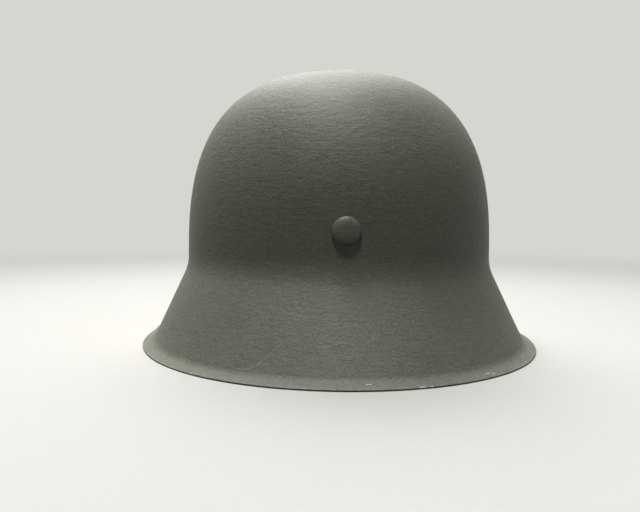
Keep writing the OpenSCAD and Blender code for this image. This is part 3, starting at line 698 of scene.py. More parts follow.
class Finish:
    """A material that is built a node at a time round one shader."""

    def __init__(self, name, **constants):
        self.material = bpy.data.materials.new(name)
        self.material.use_nodes = True
        self.tree = self.material.node_tree
        self.tree.nodes.clear()
        self.shader = self.add("ShaderNodeBsdfPrincipled", **constants)
        output = self.add("ShaderNodeOutputMaterial")
        self.tree.links.new(self.shader.outputs["BSDF"], output.inputs["Surface"])
        self.object = self.add("ShaderNodeTexCoord").outputs["Object"]

    def add(self, kind, settings=(), **inputs):
        node = self.tree.nodes.new(kind)
        for name, value in dict(settings).items():
            setattr(node, name, value)
        for name, value in inputs.items():
            self.feed(node.inputs[name.replace("_", " ")], value)
        return node

    def feed(self, socket, value):
        if isinstance(value, bpy.types.NodeSocket):
            self.tree.links.new(value, socket)
        elif socket.type == "RGBA" and len(value) == 3:
            socket.default_value = (*value, 1)
        else:
            socket.default_value = value

    def set(self, **inputs):
        for name, value in inputs.items():
            self.feed(self.shader.inputs[name.replace("_", " ")], value)

    def stretched(self, scale, turned=(0, 0, 0)):
        node = self.add("ShaderNodeMapping", Vector=self.object)
        node.inputs["Scale"].default_value = scale
        node.inputs["Rotation"].default_value = turned
        return node.outputs[0]

    def noise(self, scale, detail=3.0, rough=0.5, at=None):
        at = at or self.object
        node = self.add("ShaderNodeTexNoise", Vector=at, Scale=scale, Detail=detail, Roughness=rough)
        return node.outputs["Fac"]

    def cells(self, scale):
        return self.add("ShaderNodeTexVoronoi", Vector=self.object, Scale=scale).outputs["Distance"]

    def vector(self, operation, *inputs, output="Vector"):
        node = self.add("ShaderNodeVectorMath", {"operation": operation})
        for socket, value in zip(node.inputs, inputs):
            self.feed(socket, value)
        return node.outputs[output]

    def maths(self, operation, *inputs, clamp=False):
        node = self.add("ShaderNodeMath", {"operation": operation, "use_clamp": clamp})
        for socket, value in zip(node.inputs, inputs):
            self.feed(socket, value)
        return node.outputs[0]

    def between(self, value, low, high, bottom=0.0, top=1.0):
        """Runs from bottom to top as value goes from low to high."""
        node = self.add("ShaderNodeMapRange", {"interpolation_type": "SMOOTHSTEP"}, Value=value)
        for name, number in (("From Min", low), ("From Max", high), ("To Min", bottom), ("To Max", top)):
            node.inputs[name].default_value = number
        return node.outputs[0]

    def mix(self, share, first, second, how="MIX"):
        node = self.add("ShaderNodeMix", {"data_type": "RGBA", "blend_type": how})
        for socket, value in zip((node.inputs[0], node.inputs[6], node.inputs[7]), (share, first, second)):
            self.feed(socket, value)
        return node.outputs[2]

    def bump(self, height, depth, strength=1.0, under=None):
        node = self.add("ShaderNodeBump", Height=height, Distance=depth, Strength=strength)
        if under:
            self.tree.links.new(under, node.inputs["Normal"])
        return node.outputs[0]

    def on(self, *pieces):
        for piece in pieces:
            piece.data.materials.clear()
            piece.data.materials.append(self.material)
        return self.material


def shade(tone, by):
    return tuple(min(1.0, c * by) for c in tone)


# How far past its half width a mark's edge starts to fade
MARK_EDGE = 0.00012


def near_line(finish, start, end):
    """Distance from a straight line between two points."""
    along = end - start
    away = finish.vector("SUBTRACT", finish.object, tuple(start))
    per_length = tuple(along / along.length_squared)
    share = finish.vector("DOT_PRODUCT", away, per_length, output="Value")
    share = finish.maths("ADD", share, 0.0, clamp=True)
    run = finish.add("ShaderNodeVectorMath", {"operation": "SCALE"}, Vector=tuple(along), Scale=share)
    return finish.vector("LENGTH", finish.vector("SUBTRACT", away, run.outputs[0]), output="Value")


def paint_finish(name, tone, worn, bare, rough_at=0.54, marks=(), scuffs=()):
    """Semi-matt paint with a fine grain, brushed out level, and lighter where the wear attribute says: worn
    paint on the raw edge, spread wider so that it also stands as a painted highlight along the lip's edge.
    Each mark
    is a line where the steel shows: its start, its end, its half width and how clearly it shows. A scuff is a
    dark line of the same kind."""
    finish = Finish(name, Specular_IOR_Level=0.4)
    grain = finish.noise(900, 3.0, 0.6)
    coarse = finish.noise(260, 3.0, 0.6)
    cloud = finish.noise(26, 4.0, 0.55)
    brushed = finish.noise(150, 4.0, 0.65, finish.stretched((1.0, 1.0, 4.5)))
    tint = finish.mix(finish.between(cloud, 0.3, 0.7), shade(tone, 0.92), shade(tone, 1.10))
    pitted = finish.mix(1.0, tint, (0.68, 0.68, 0.70), "MULTIPLY")
    tint = finish.mix(finish.between(grain, 0.3, 0.7), pitted, tint)
    tint = finish.mix(finish.between(brushed, 0.45, 0.75, 0.0, 0.22), tint, shade(tone, 1.45))
    rough = finish.maths("ADD", finish.between(grain, 0.2, 0.8, rough_at, rough_at + 0.1),
                         finish.between(cloud, 0.3, 0.7, -0.03, 0.03))
    if marks:
        # Worn paint along the raw edge, covering more of the edge than the wear alone would, so that it is
        # also a painted highlight on the lip's edge
        wear_and_highlight_at = finish.add("ShaderNodeAttribute", {"attribute_name": "wear"}).outputs["Fac"]
        chips = finish.maths("MULTIPLY", wear_and_highlight_at, finish.between(coarse, 0.36, 0.6))
        tint = finish.mix(finish.maths("MULTIPLY", chips, 0.85), tint, worn)
        ragged = finish.maths("MULTIPLY", finish.noise(1700, 2.0), 0.0005)
        for lines, shown_as in ((scuffs, shade(tone, 0.3)), (marks, bare)):
            nicked = 0.0
            for start, end, half_width, clearly in lines:
                reach = finish.maths("ADD", near_line(finish, start, end), ragged)
                inner, outer = half_width + MARK_EDGE, half_width + 2.5 * MARK_EDGE
                shown = finish.between(reach, inner, outer, clearly, 0.0)
                nicked = finish.maths("MAXIMUM", nicked, shown)
            tint = finish.mix(nicked, tint, shown_as)
    finish.set(Base_Color=tint, Roughness=rough)
    height = finish.maths("ADD", finish.maths("MULTIPLY", grain, 0.6), finish.maths("MULTIPLY", coarse, 0.8))
    finish.set(Normal=finish.bump(height, 0.0004, 0.9, finish.bump(brushed, 0.0003, 0.7)))
    return finish


def zinc_finish(name, tone, stain, bloom=0.5):
    """Dull zinc, with small spangles and a grey bloom."""
    finish = Finish(name, Metallic=0.85)
    spangle = finish.cells(420)
    bloom_at = finish.noise(48, 5.0, 0.62)
    speck = finish.noise(900, 2.0)
    tint = finish.mix(finish.between(spangle, 0.1, 0.7), shade(tone, 1.08), shade(tone, 0.88))
    tint = finish.mix(finish.between(bloom_at, 0.45, 0.72, 0.0, bloom), tint, stain)
    finish.set(Base_Color=tint, Roughness=finish.between(bloom_at, 0.3, 0.75, 0.38, 0.66))
    finish.set(Normal=finish.bump(speck, 0.00004, 0.5))
    return finish


def steel_finish(name, tone, rust, rusted=0.35, rough=0.34):
    """Drawn or rolled steel, with fine lines and light rust in patches."""
    finish = Finish(name, Metallic=1.0)
    lines = finish.noise(160, 4.0, 0.6, finish.stretched((9.0, 1.0, 1.0)))
    patch = finish.noise(120, 5.0, 0.7)
    eaten = finish.between(patch, 0.62 - 0.2 * rusted, 0.78, 0.0, min(1.0, 2 * rusted))
    tint = finish.mix(finish.between(lines, 0.3, 0.7), shade(tone, 0.85), shade(tone, 1.12))
    tint = finish.mix(eaten, tint, rust)
    finish.set(Base_Color=tint)
    finish.set(Roughness=finish.maths("ADD", finish.between(lines, 0.3, 0.7, rough - 0.06, rough + 0.1),
                                      finish.maths("MULTIPLY", eaten, 0.3)))
    finish.set(Normal=finish.bump(finish.maths("ADD", lines, eaten), 0.00003, 0.6))
    return finish


def felt_finish(name, tone):
    """Pressed wool, with short fibres that lie every way."""
    finish = Finish(name, Roughness=0.95, Specular_IOR_Level=0.15, Sheen_Weight=0.35, Sheen_Roughness=0.5)
    fibres = finish.noise(900, 5.0, 0.75, finish.stretched((1.0, 0.35, 0.35), (0.4, 0.7, 0.2)))
    crossed = finish.noise(900, 5.0, 0.75, finish.stretched((0.35, 1.0, 0.35), (0.9, 0.1, 0.5)))
    cloud = finish.noise(70, 4.0, 0.6)
    woven = finish.maths("ADD", finish.maths("MULTIPLY", fibres, 0.5), finish.maths("MULTIPLY", crossed, 0.5))
    tint = finish.mix(finish.between(woven, 0.35, 0.65), shade(tone, 0.62), shade(tone, 1.3))
    tint = finish.mix(finish.between(cloud, 0.4, 0.7, 0.0, 0.5), tint, shade(tone, 0.75))
    finish.set(Base_Color=tint, Normal=finish.bump(woven, 0.0004, 0.8))
    return finish


def leather_finish(name, tone, dark, pebble=900, rough=0.5):
    """Smooth leather with a fine pebble, pores, long creases and darker, handled patches."""
    finish = Finish(name, Specular_IOR_Level=0.4)
    pebbles = finish.cells(pebble)
    pores = finish.noise(pebble * 1.7, 3.0, 0.6)
    creases = finish.noise(95, 5.0, 0.65, finish.stretched((1.0, 1.0, 0.45)))
    handled = finish.noise(32, 4.0, 0.6)
    tint = finish.mix(finish.between(handled, 0.38, 0.72), tone, dark)
    tint = finish.mix(finish.between(creases, 0.5, 0.62, 0.0, 0.45), tint, dark)
    tint = finish.mix(finish.between(pores, 0.55, 0.75, 0.0, 0.35), tint, shade(dark, 0.7))
    finish.set(Base_Color=tint)
    finish.set(Roughness=finish.maths("ADD", finish.between(handled, 0.35, 0.7, rough + 0.06, rough - 0.08),
                                      finish.between(pores, 0.4, 0.7, 0.0, 0.08)))
    grain = finish.bump(finish.maths("ADD", pebbles, finish.maths("MULTIPLY", pores, 0.3)), 0.00012, 0.5)
    finish.set(Normal=finish.bump(creases, 0.0006, 0.35, grain))
    return finish


def finish_of(slot):
    """The finish of one of the record's material slots, made when it is first asked for."""
    name = f"{slot}_finish"
    if name in bpy.data.materials:
        return bpy.data.materials[name]
    tones = values("helmet_colours")
    if slot == "shell_paint":
        form = ShellForm()
        made = paint_finish(name, tones.paint, tones.paint_worn_and_highlight, tones.bare_steel,
                            marks=shell_marks(form), scuffs=shell_line(form, SCUFF, *SCUFF_SHOWS))
    elif slot == "rivet_paint":
        made = paint_finish(name, shade(tones.paint, 0.97), tones.paint_worn_and_highlight, tones.bare_steel, 0.36)
    elif slot == "zinc":
        made = zinc_finish(name, tones.zinc, tones.zinc_stain)
    elif slot == "band_zinc":
        made = zinc_finish(name, shade(tones.zinc, 1.05), tones.zinc_stain, 0.7)
    elif slot == "spring_steel":
        made = steel_finish(name, tones.spring, tones.rust, 0.2, 0.3)
    elif slot == "felt":
        made = felt_finish(name, tones.felt)
    elif slot == "liner_leather":
        made = leather_finish(name, tones.leather, tones.leather_dark)
    elif slot == "strap_leather":
        made = leather_finish(name, tones.strap, shade(tones.strap, 0.6), 1100, 0.42)
    elif slot == "raw_edge":
        made = felt_finish(name, shade(tones.leather_dark, 0.6))
    else:
        made = steel_finish(name, tones.wire, tones.rust, 0.3)
    return made.material


def dress(piece, slot, body, *nodes):
    """Gives a finished piece its finish, slot and body, and puts it in the place of the frame's nodes."""
    piece.data.materials.clear()
    piece.data.materials.append(finish_of(slot))
    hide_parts(*nodes)
    if body:
        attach(piece, body)


# Operators, one for each piece or group of like pieces

LIP_STAGE = 4
EDGE_STAGE = 5
# How far the cutter of a hole reaches
DRILL_REACH = 0.010
# The rounding of the thin pieces' edges, and how far the felts' edges stray
BAND_CORNER = 0.0003
FELT_CORNER = 0.0009
LEATHER_BEVEL = 0.0003
FELT_STRAY = 0.0004


def shell_rows(sizes):
    """Stage and depth of each row, from the crown outside, round the raw edge, to the crown inside."""
    stages = [0.0] + spread(0, 1, 44) + spread(1, 2, 9) + spread(2, 3, 10) + spread(3, LIP_STAGE, 10)
    corner = sizes.edge_round / sizes.lip_flat
    stages += spread(LIP_STAGE, EDGE_STAGE - corner, 3)
    bends = [radians(a) for a in (22.5, 45, 67.5, 90)]
    rows = [(stage, 0.0) for stage in stages]
    round_edge = [(EDGE_STAGE - corner * (1 - sin(a)), sizes.edge_round * (1 - cos(a))) for a in bends]
    rows += round_edge + [(stage, sizes.wall - depth) for stage, depth in round_edge[::-1]]
    return rows + [(stage, sizes.wall) for stage in stages[::-1]]


# Bright nicks in the lip: turn from the brow in degrees, stage, half length and half width
LIP_NICKS = [
    (166.2, 4.97, 0.0011, 0.0007),
    (164.2, 4.90, 0.0006, 0.0004),
    (176.3, 4.10, 0.0013, 0.0003),
    (148.6, 4.30, 0.0016, 0.0003),
    (147.2, 4.55, 0.0008, 0.0003),
    (119.6, 4.35, 0.0005, 0.0004),
    (124.0, 4.60, 0.0004, 0.0004),
    (131.0, 4.70, 0.0006, 0.0004),
    (214.0, 4.90, 0.0006, 0.0003),
    (238.0, 4.80, 0.0005, 0.0004),
    (28.0, 4.95, 0.0009, 0.0004),
    (331.0, 4.93, 0.0007, 0.0004),
]
# Small chips on the skirt and the dome, in the same way
SKIN_CHIPS = [
    (178.1, 2.42, 0.0003, 0.0003),
    (168.2, 2.30, 0.0004, 0.0002),
    (169.0, 0.80, 0.0003, 0.0002),
    (188.8, 0.849, 0.0016, 0.00018),
    (176.0, 0.75, 0.0003, 0.0002),
    (262.0, 1.40, 0.0004, 0.0002),
    (95.0, 0.55, 0.0004, 0.0003),
]
# The long scratch on the neck guard, as turns in degrees and stages
SCRATCH = [
    (204.6, 3.01), (201.0, 2.98), (199.6, 2.945), (198.2, 2.87), (196.9, 2.79), (195.6, 2.71), (194.5, 2.645),
]
# The dark scuff beside the rear rivet
SCUFF = [(171.7, 0.893), (172.5, 0.900), (174.0, 0.902), (173.1, 0.912), (173.5, 0.926)]
# How clearly nicks and chips show, and half width and clearness of the scratch and of the scuff
NICKS_SHOW = 0.85
CHIPS_SHOW = 0.4
SCRATCH_SHOWS = (0.00025, 0.2)
SCUFF_SHOWS = (0.0003, 0.75)


def shell_line(form, places, half_width, clearly):
    """A mark for each stretch of a line that runs through turns in degrees and stages."""
    points = [form.sheet(radians(turn), stage, 0) for turn, stage in places]
    return [(start, end, half_width, clearly) for start, end in zip(points, points[1:])]


def shell_marks(form):
    """Start, end, half width and clearness of each nick, chip and stretch of the scratch."""
    marks = []
    for places, clearly in ((LIP_NICKS, NICKS_SHOW), (SKIN_CHIPS, CHIPS_SHOW)):
        for turn, stage, half_length, half_width in places:
            along = Vector((*form.slope(radians(turn)), 0)).normalized() * half_length
            middle = form.sheet(radians(turn), stage, 0)
            marks.append((middle - along, middle + along, half_width, clearly))
    return marks + shell_line(form, SCRATCH, *SCRATCH_SHOWS)


def mark_wear_and_highlight(piece, form, points=720, reach=0.0011):
    """Gives each point of the shell its share of worn paint and painted edge highlight, which fades from the
    raw edge inwards.
    """
    edge = kdtree.KDTree(points)
    for i in range(points):
        edge.insert(form.point(2 * pi * i / points, EDGE_STAGE), i)
    edge.balance()
    wear = piece.data.attributes.new("wear", "FLOAT", "POINT")
    for i, vertex in enumerate(piece.data.vertices):
        wear.data[i].value = exp(-edge.find(vertex.co)[2] / reach)


class HELMET_OT_shell(bpy.types.Operator):
    """Models the pressed steel shell with its raw edge, its vents and its rivet holes"""

    bl_idname = "helmet.shell"
    bl_label = "Shell"

    def execute(self, context):
        form = ShellForm()
        liner = LinerForm(form)
        sizes = form.s
        piece = ring_loft("helmet_shell", 240, shell_rows(sizes), form.sheet)
        for middle, _ in form.vent_axes:
            refine_near(piece, middle, form.vents.field * 1.5, cuts=6, place=form.sheet)
        close_up(piece, 40)
        cut(piece, cutter(form.vent_axes, form.vents.hole_radius, 8 * sizes.wall, 48))
        seats = [(Vector(place.translation), place.to_3x3() @ Vector((1, 0, 0))) for place in
                 (liner.frame(turn) for turn in rivet_turns())]
        cut(piece, cutter(seats, rivet_hole_radius(), 8 * sizes.wall))
        close_up(piece, 40)
        drop_marks(piece)
        mark_wear_and_highlight(piece, form)
        dress(piece, "shell_paint", "helmet", "shell")
        return {"FINISHED"}


# Half the gap between a split rivet's prongs, and the play of the hole that they pass
PRONG_GAP = 0.0001


def rivet_turns():
    side = values("helmet_rivets").side_turn
    return [pi, -side, side]


def rivet_hole_radius():
    rivets = values("helmet_rivets")
    return hypot(rivets.prong_width / 2, rivets.prong_thick + PRONG_GAP) + PRONG_GAP


def rivet_head(sizes):
    """A low dome on +X with a rounded rim, and a flat back."""
    radius = sizes.head_diameter / 2
    rows = [(0.0, 0.0), (radius * 0.6, 0.0), (radius * 0.985, 0.0), (radius, sizes.head_rim * 0.35)]
    rise = sizes.head_height - sizes.head_rim
    for step in range(15):
        angle = pi / 2 * step / 14
        rows.append((radius * cos(angle) ** 0.85 if step < 14 else 0.0, sizes.head_rim + rise * sin(angle)))
    return ring_loft("rivet_head", 64, rows, lambda turn, r, x: Vector((x, r * sin(turn), r * cos(turn))))


def rivet_prong(sizes, back):
    """One prong, extruded from behind the head and spun outwards behind the washer, down to a depth."""
    thick, width = sizes.prong_thick, sizes.prong_width
    deselect()
    bpy.ops.mesh.primitive_plane_add(size=1)
    piece = bpy.context.object
    middle = thick / 2 + PRONG_GAP
    flat = Matrix(((0, 0, 1, sizes.head_rim), (0, width, 0, 0), (thick, 0, 0, middle), (0, 0, 0, 1)))
    piece.data.transform(flat)
    edit(piece)
    bpy.ops.mesh.extrude_region_move(TRANSFORM_OT_translate={"value": (-back - sizes.head_rim + thick, 0, 0)})
    pivot = (-back + thick, 0, middle + thick)
    bpy.ops.mesh.spin(steps=8, angle=-pi / 2, center=pivot, axis=(0, 1, 0))
    reach = sizes.prong_length - pivot[2]
    bpy.ops.mesh.extrude_region_move(TRANSFORM_OT_translate={"value": (0, 0, reach * 0.8)})
    bpy.ops.mesh.extrude_region_move(TRANSFORM_OT_translate={"value": (0, 0, reach * 0.2)})
    bpy.ops.transform.resize(value=(0.8, 0.6, 1))
    bpy.ops.object.mode_set(mode="OBJECT")
    close_up(piece)
    return piece


class HELMET_OT_split_rivets(bpy.types.Operator):
    """Models one split rivet and copies it to the nape and both sides"""

    bl_idname = "helmet.split_rivets"
    bl_label = "Split rivets"

    def execute(self, context):
        liner = LinerForm(ShellForm())
        sizes = liner.rivets
        for name, turn in zip(("rear", "left", "right"), rivet_turns()):
            chord = liner.chord(turn, sizes.height)
            seat = chord - liner.shell.drawn_in(turn, sizes.height) + liner.s.touch
            washer = liner.outer_in + liner.sag(turn, sizes.washer_width / 2) + liner.s.touch
            back = washer + sizes.washer_thick + liner.s.touch + sizes.prong_thick / 2 + seat
            head = close_up(rivet_head(sizes), 40)
            prong = rivet_prong(sizes, back)
            other = copied(prong, "prong", Matrix.Scale(-1, 4, (0, 0, 1)))
            other.data.flip_normals()
            piece = join([head, prong, other], f"{name}_split_rivet")
            piece.data.transform(liner.frame(turn) @ Matrix.Translation((seat, 0, 0)))
            close_up(piece, 35)
            drop_marks(piece)
            dress(piece, "rivet_paint", "helmet", f"{name}_rivet")
        return {"FINISHED"}


SPRING_TURNS = [-26.25, 26.25, 135, -135]


class HELMET_OT_bands(bpy.types.Operator):
    """Models the outer and the inner band, with the holes of their rivets"""

    bl_idname = "helmet.bands"
    bl_label = "Bands"

    def execute(self, context):
        liner = LinerForm(ShellForm())
        s = liner.s
        outer = liner.plate(liner.outer_out, liner.outer_in, liner.low, liner.high)
        inner_high = liner.inner_low + s.inner_height
        inner = liner.plate(liner.inner_out, liner.inner_in, liner.inner_low, inner_high)
        turns = [radians(turn) for turn in SPRING_TURNS]
        outer_holes = [
            (rivet_turns(), 0.0, rivet_hole_radius()),
            (turns, 0.0, s.rivet_radius + s.hole_play),
        ]
        sides = [-liner.shell.side_turn, liner.shell.side_turn]
        for across in (-s.bracket_rivet_out, s.bracket_rivet_out):
            outer_holes.append((sides, across, s.bracket_rivet_radius + s.hole_play))
        ends = [turn + end * s.spring_half_turn for turn in turns for end in (-1, 1)]
        inner_holes = [(ends, 0.0, s.rivet_radius + s.hole_play)]
        for name, section, holes in (("outer_band", outer, outer_holes), ("inner_band", inner, inner_holes)):
            rows = rounded_outline(section, BAND_CORNER)
            piece = ring_loft(f"{name}_strip", 192, rows + rows[:1], liner.point)
            close_up(piece)
            for at, across, radius in holes:
                places = [band_axis(liner, turn, across) for turn in at]
                cut(piece, cutter(places, radius, 3 * DRILL_REACH, 24))
            close_up(piece)
            drop_marks(piece)
            dress(piece, "band_zinc", "helmet", name)
        return {"FINISHED"}


def band_axis(liner, turn, across=0.0):
    """A point on the bands' chord, and the way that a rivet there faces."""
    place = liner.frame(turn)
    return place @ Vector((0, across, 0)), place.to_3x3() @ Vector((1, 0, 0))


class HELMET_OT_felts(bpy.types.Operator):
    """Models the felt at the brow and at the nape"""

    bl_idname = "helmet.felts"
    bl_label = "Felts"

    def execute(self, context):
        liner = LinerForm(ShellForm())
        s = liner.s
        low, high = liner.inner_low + s.felt_edge, liner.inner_low + s.inner_height - s.felt_edge
        outline = rounded_outline(liner.plate(liner.felt_out, liner.felt_in, low, high), FELT_CORNER)
        for name, middle in (("front", 0.0), ("rear", pi)):
            first, last = middle - s.felt_half_turn, middle + s.felt_half_turn
            turns = [first] + spread(first, last, 72)
            piece = sweep(f"{name}_felt_strip", outline, turns, lambda t, i, z: self.pressed(liner, t, i, z))
            close_up(piece, 50)
            drop_marks(piece)
            dress(piece, "felt", "helmet", f"{name}_felt")
        return {"FINISHED"}

    def pressed(self, liner, turn, inset, height):
        """A point of the felt, a little uneven along its edges."""
        point = liner.point(turn, inset, height)
        point.z += FELT_STRAY * noise.noise(point * 160)
        return point


# Places of the air holes, as shares of a finger's half width and of its length
AIR_HOLES = [(-0.42, 0.16), (0.42, 0.16), (0, 0.3), (-0.42, 0.44), (0.42, 0.44)]
LACE_HOLE_AT = 0.93
FINGERS = 8
FINGER_CELLS = 18
FINGER_STAGES = [0.02, 0.05, 0.09, 0.14, 0.2, 0.26, 0.32, 0.38, 0.44, 0.5, 0.56, 0.62, 0.68, 0.74, 0.79, 0.84,
                 0.88, 0.91, 0.935, 0.955, 0.97, 0.98, 0.99, 0.996, 1]


class HELMET_OT_leather_liner(bpy.types.Operator):
    """Models the leather: a folded ring whose upper edge is extruded into eight fingers with their holes"""

    bl_idname = "helmet.leather_liner"
    bl_label = "Leather liner"

    def execute(self, context):
        liner = LinerForm(ShellForm())
        s = liner.s
        piece = ring_loft("leather_liner_fingers", FINGERS * FINGER_CELLS, liner.leather_rows(), liner.point)
        self.extrude_fingers(piece, liner)
        close_up(piece)
        modify(piece, "SOLIDIFY", thickness=s.leather_thick, offset=0, use_even_offset=True)
        modify(piece, "BEVEL", width=LEATHER_BEVEL, segments=2, limit_method="ANGLE", angle_limit=radians(60))
        air, lace = [], []
        for finger in range(FINGERS):
            middle = 2 * pi * (finger + 0.5) / FINGERS
            for across, along in AIR_HOLES:
                turn = middle + across * pi / FINGERS
                air.append((liner.finger_point(turn, along), liner.finger_normal(turn, along)))
            lace.append((liner.finger_point(middle, LACE_HOLE_AT), liner.finger_normal(middle, LACE_HOLE_AT)))
        cut(piece, cutter(air, s.air_hole_radius, DRILL_REACH, 24))
        cut(piece, cutter(lace, s.lace_hole_radius, DRILL_REACH, 24))
        close_up(piece, 50)
        drop_marks(piece)
        dress(piece, "liner_leather", "helmet", "leather_liner")
        return {"FINISHED"}

    def extrude_fingers(self, piece, liner):
        """The first extrusion goes finger by finger, which parts them, and the others go all at once."""
        mesh = edit(piece, "DESELECT")
        mesh.verts.layers.float.new("row_finger")
        turn = mesh.verts.layers.float["turn"]
        roots = [edge for edge in mesh.edges if edge.is_boundary and self.is_root(edge, liner)]
        roots = [edge.index for edge in sorted(roots, key=lambda edge: self.edge_turn(edge, turn))]
        groups = [roots[i * FINGER_CELLS:(i + 1) * FINGER_CELLS] for i in range(FINGERS)]
        tops = set()
        for finger, group in enumerate(groups):
            bpy.ops.mesh.select_all(action="DESELECT")
            mesh = bmesh.from_edit_mesh(piece.data)
            mesh.edges.ensure_lookup_table()
            for index in group:
                mesh.edges[index].select_set(True)
            bpy.ops.mesh.extrude_region_move()
            mesh = bmesh.from_edit_mesh(piece.data)
            finger_of = mesh.verts.layers.float["row_finger"]
            for vertex in mesh.verts:
                if vertex.select:
                    vertex[finger_of] = finger + 1
            self.place_finger(mesh, liner, FINGER_STAGES[0])
            tops.update(edge.index for edge in mesh.edges if edge.select)
            bmesh.update_edit_mesh(piece.data)
        bpy.ops.mesh.select_all(action="DESELECT")
        mesh = bmesh.from_edit_mesh(piece.data)
        mesh.edges.ensure_lookup_table()
        for index in tops:
            mesh.edges[index].select_set(True)
        for stage in FINGER_STAGES[1:]:
            bpy.ops.mesh.extrude_region_move()
            mesh = bmesh.from_edit_mesh(piece.data)
            self.place_finger(mesh, liner, stage)
            bmesh.update_edit_mesh(piece.data)
        leave_edit(piece)

    def is_root(self, edge, liner):
        return edge.verts[0].co.z > liner.s.root_height - 1e-4

    def edge_turn(self, edge, turn):
        """Where an edge lies round the ring, also the edge that closes it."""
        start, end = sorted(vertex[turn] for vertex in edge.verts)
        return end + 0.01 if end - start > pi else start

    def place_finger(self, mesh, liner, stage):
        turn = mesh.verts.layers.float["turn"]
        finger_of = mesh.verts.layers.float["row_finger"]
        for vertex in mesh.verts:
            if vertex.select:
                middle = 2 * pi * (vertex[finger_of] - 0.5) / FINGERS
                across = (vertex[turn] - middle + pi) % (2 * pi) - pi
                at = middle + across * liner.finger_share(stage)
                out = liner.finger_normal(at, stage)
                spot = Vector((vertex[finger_of] * 3.1, across * 1.6, stage * 2.2))
                sway = noise.noise(spot) * liner.s.sway * smooth(stage * 2)
                vertex.co = liner.finger_point(at, stage) + out * sway


# Rounding where the strap's layers meet below a bale, and the step along its mesh
PINCH_ROUND = 0.003
STRAP_STEP = 0.0012


def refined(path, step):
    """A flat path with no stretch longer than a step."""
    points = [path[0]]
    for before, after in zip(path, path[1:]):
        count = max(1, round((after - before).length / step))
        points += [before.lerp(after, share) for share in spread(0, 1, count)]
    return points


def settling(start, end, steps):
    """Flat points that run level out of start and level into end."""
    shares = spread(0, 1, steps)
    return [Vector((blend(start[0], end[0], a), blend(start[1], end[1], smooth(a)))) for a in shares]


class StrapForm:
    """The chin strap's run, as flat points of x and z on the wearer's right. The left is its mirror."""

    def __init__(self):
        self.s = values("helmet_strap")
        s = self.s
        low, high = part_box("right_bale")
        self.middle_y = (low[1] + high[1]) / 2
        self.bar = Vector(((low[0] + high[0]) / 2, low[2] + s.wire / 2))
        self.layer = s.thick + 2 * s.touch
        self.ground = 2 * s.touch + s.thick / 2
        self.loop = s.wire / 2 + s.soft_gap + s.thick / 2
        self.buckle_loop = s.buckle_wire / 2 + s.soft_gap + s.thick / 2
        self.buckle_z = self.ground + self.buckle_loop

    def hang(self):
        """From the tail, round the bale's lower bar and down to the ground."""
        s, bar = self.s, self.bar
        off = s.thick / 2 + s.touch
        round_bar = arc(bar, self.loop, 195, -15, 20)
        tail = Vector((bar.x - off, bar.y - s.tail_drop))
        pinch = [Vector((bar.x + side * off, bar.y - s.pinch_drop)) for side in (-1, 1)]
        down = arc((bar.x + off - s.bend, self.ground + s.bend), s.bend, 0, -90, 12)
        return [
            tail, *rounded_corner(tail, pinch[0], round_bar[0], PINCH_ROUND, 5), *round_bar,
            *rounded_corner(round_bar[-1], pinch[1], down[0], PINCH_ROUND, 5), *down,
        ]

    def long_half(self):
        s, ground, layer, fold = self.s, self.ground, self.layer, self.s.fold_radius
        first, second = s.first_fold, s.second_fold
        return [
            *self.hang(),
            *arc((first, ground + fold), fold, 270, 90, 16),
            *settling((first, ground + 2 * fold), (first + s.settle, ground + layer), 12),
            *arc((second, ground + layer + fold), fold, -90, 90, 16),
            *settling((second, ground + layer + 2 * fold), (second - s.settle, ground + 2 * layer), 12),
            Vector((s.end_at, ground + 2 * layer)),
        ]

    def short_half(self):
        s, loop, second_layer = self.s, self.buckle_loop, self.ground + self.layer
        return [
            *self.hang(),
            *arc((s.buckle_at, self.buckle_z), loop, 270, 90, 16),
            *settling((s.buckle_at, self.buckle_z + loop), (s.buckle_at + s.buckle_settle, second_layer), 8),
            Vector((s.buckle_at + s.short_tail, second_layer)),
        ]

    def section(self):
        """Points round the strap's section, with rounded edges and a crease pressed along them."""
        s = self.s
        wide, thick, crease = s.width / 2, s.thick / 2, s.crease
        quarter = [
            (wide, 0), (wide, thick * 0.5), (wide - thick * 0.15, thick * 0.8),
            (wide - thick * 0.5, thick * 0.97), (wide - thick, thick),
            (wide - crease + 0.0005, thick), (wide - crease, thick - 0.0002), (wide - crease - 0.0005, thick),
            (wide / 3, thick * 1.01), (0, thick * 1.02),
        ]
        top = quarter + [(-a, b) for a, b in quarter[-2::-1]]
        return top + [(a, -b) for a, b in top[-2:0:-1]]

    def point_share(self, left):
        """How much of the width is left at a distance from the pointed end."""
        return max(0.16, sqrt(1 - max(0.0, 1 - left / self.s.point_length) ** 2.2))


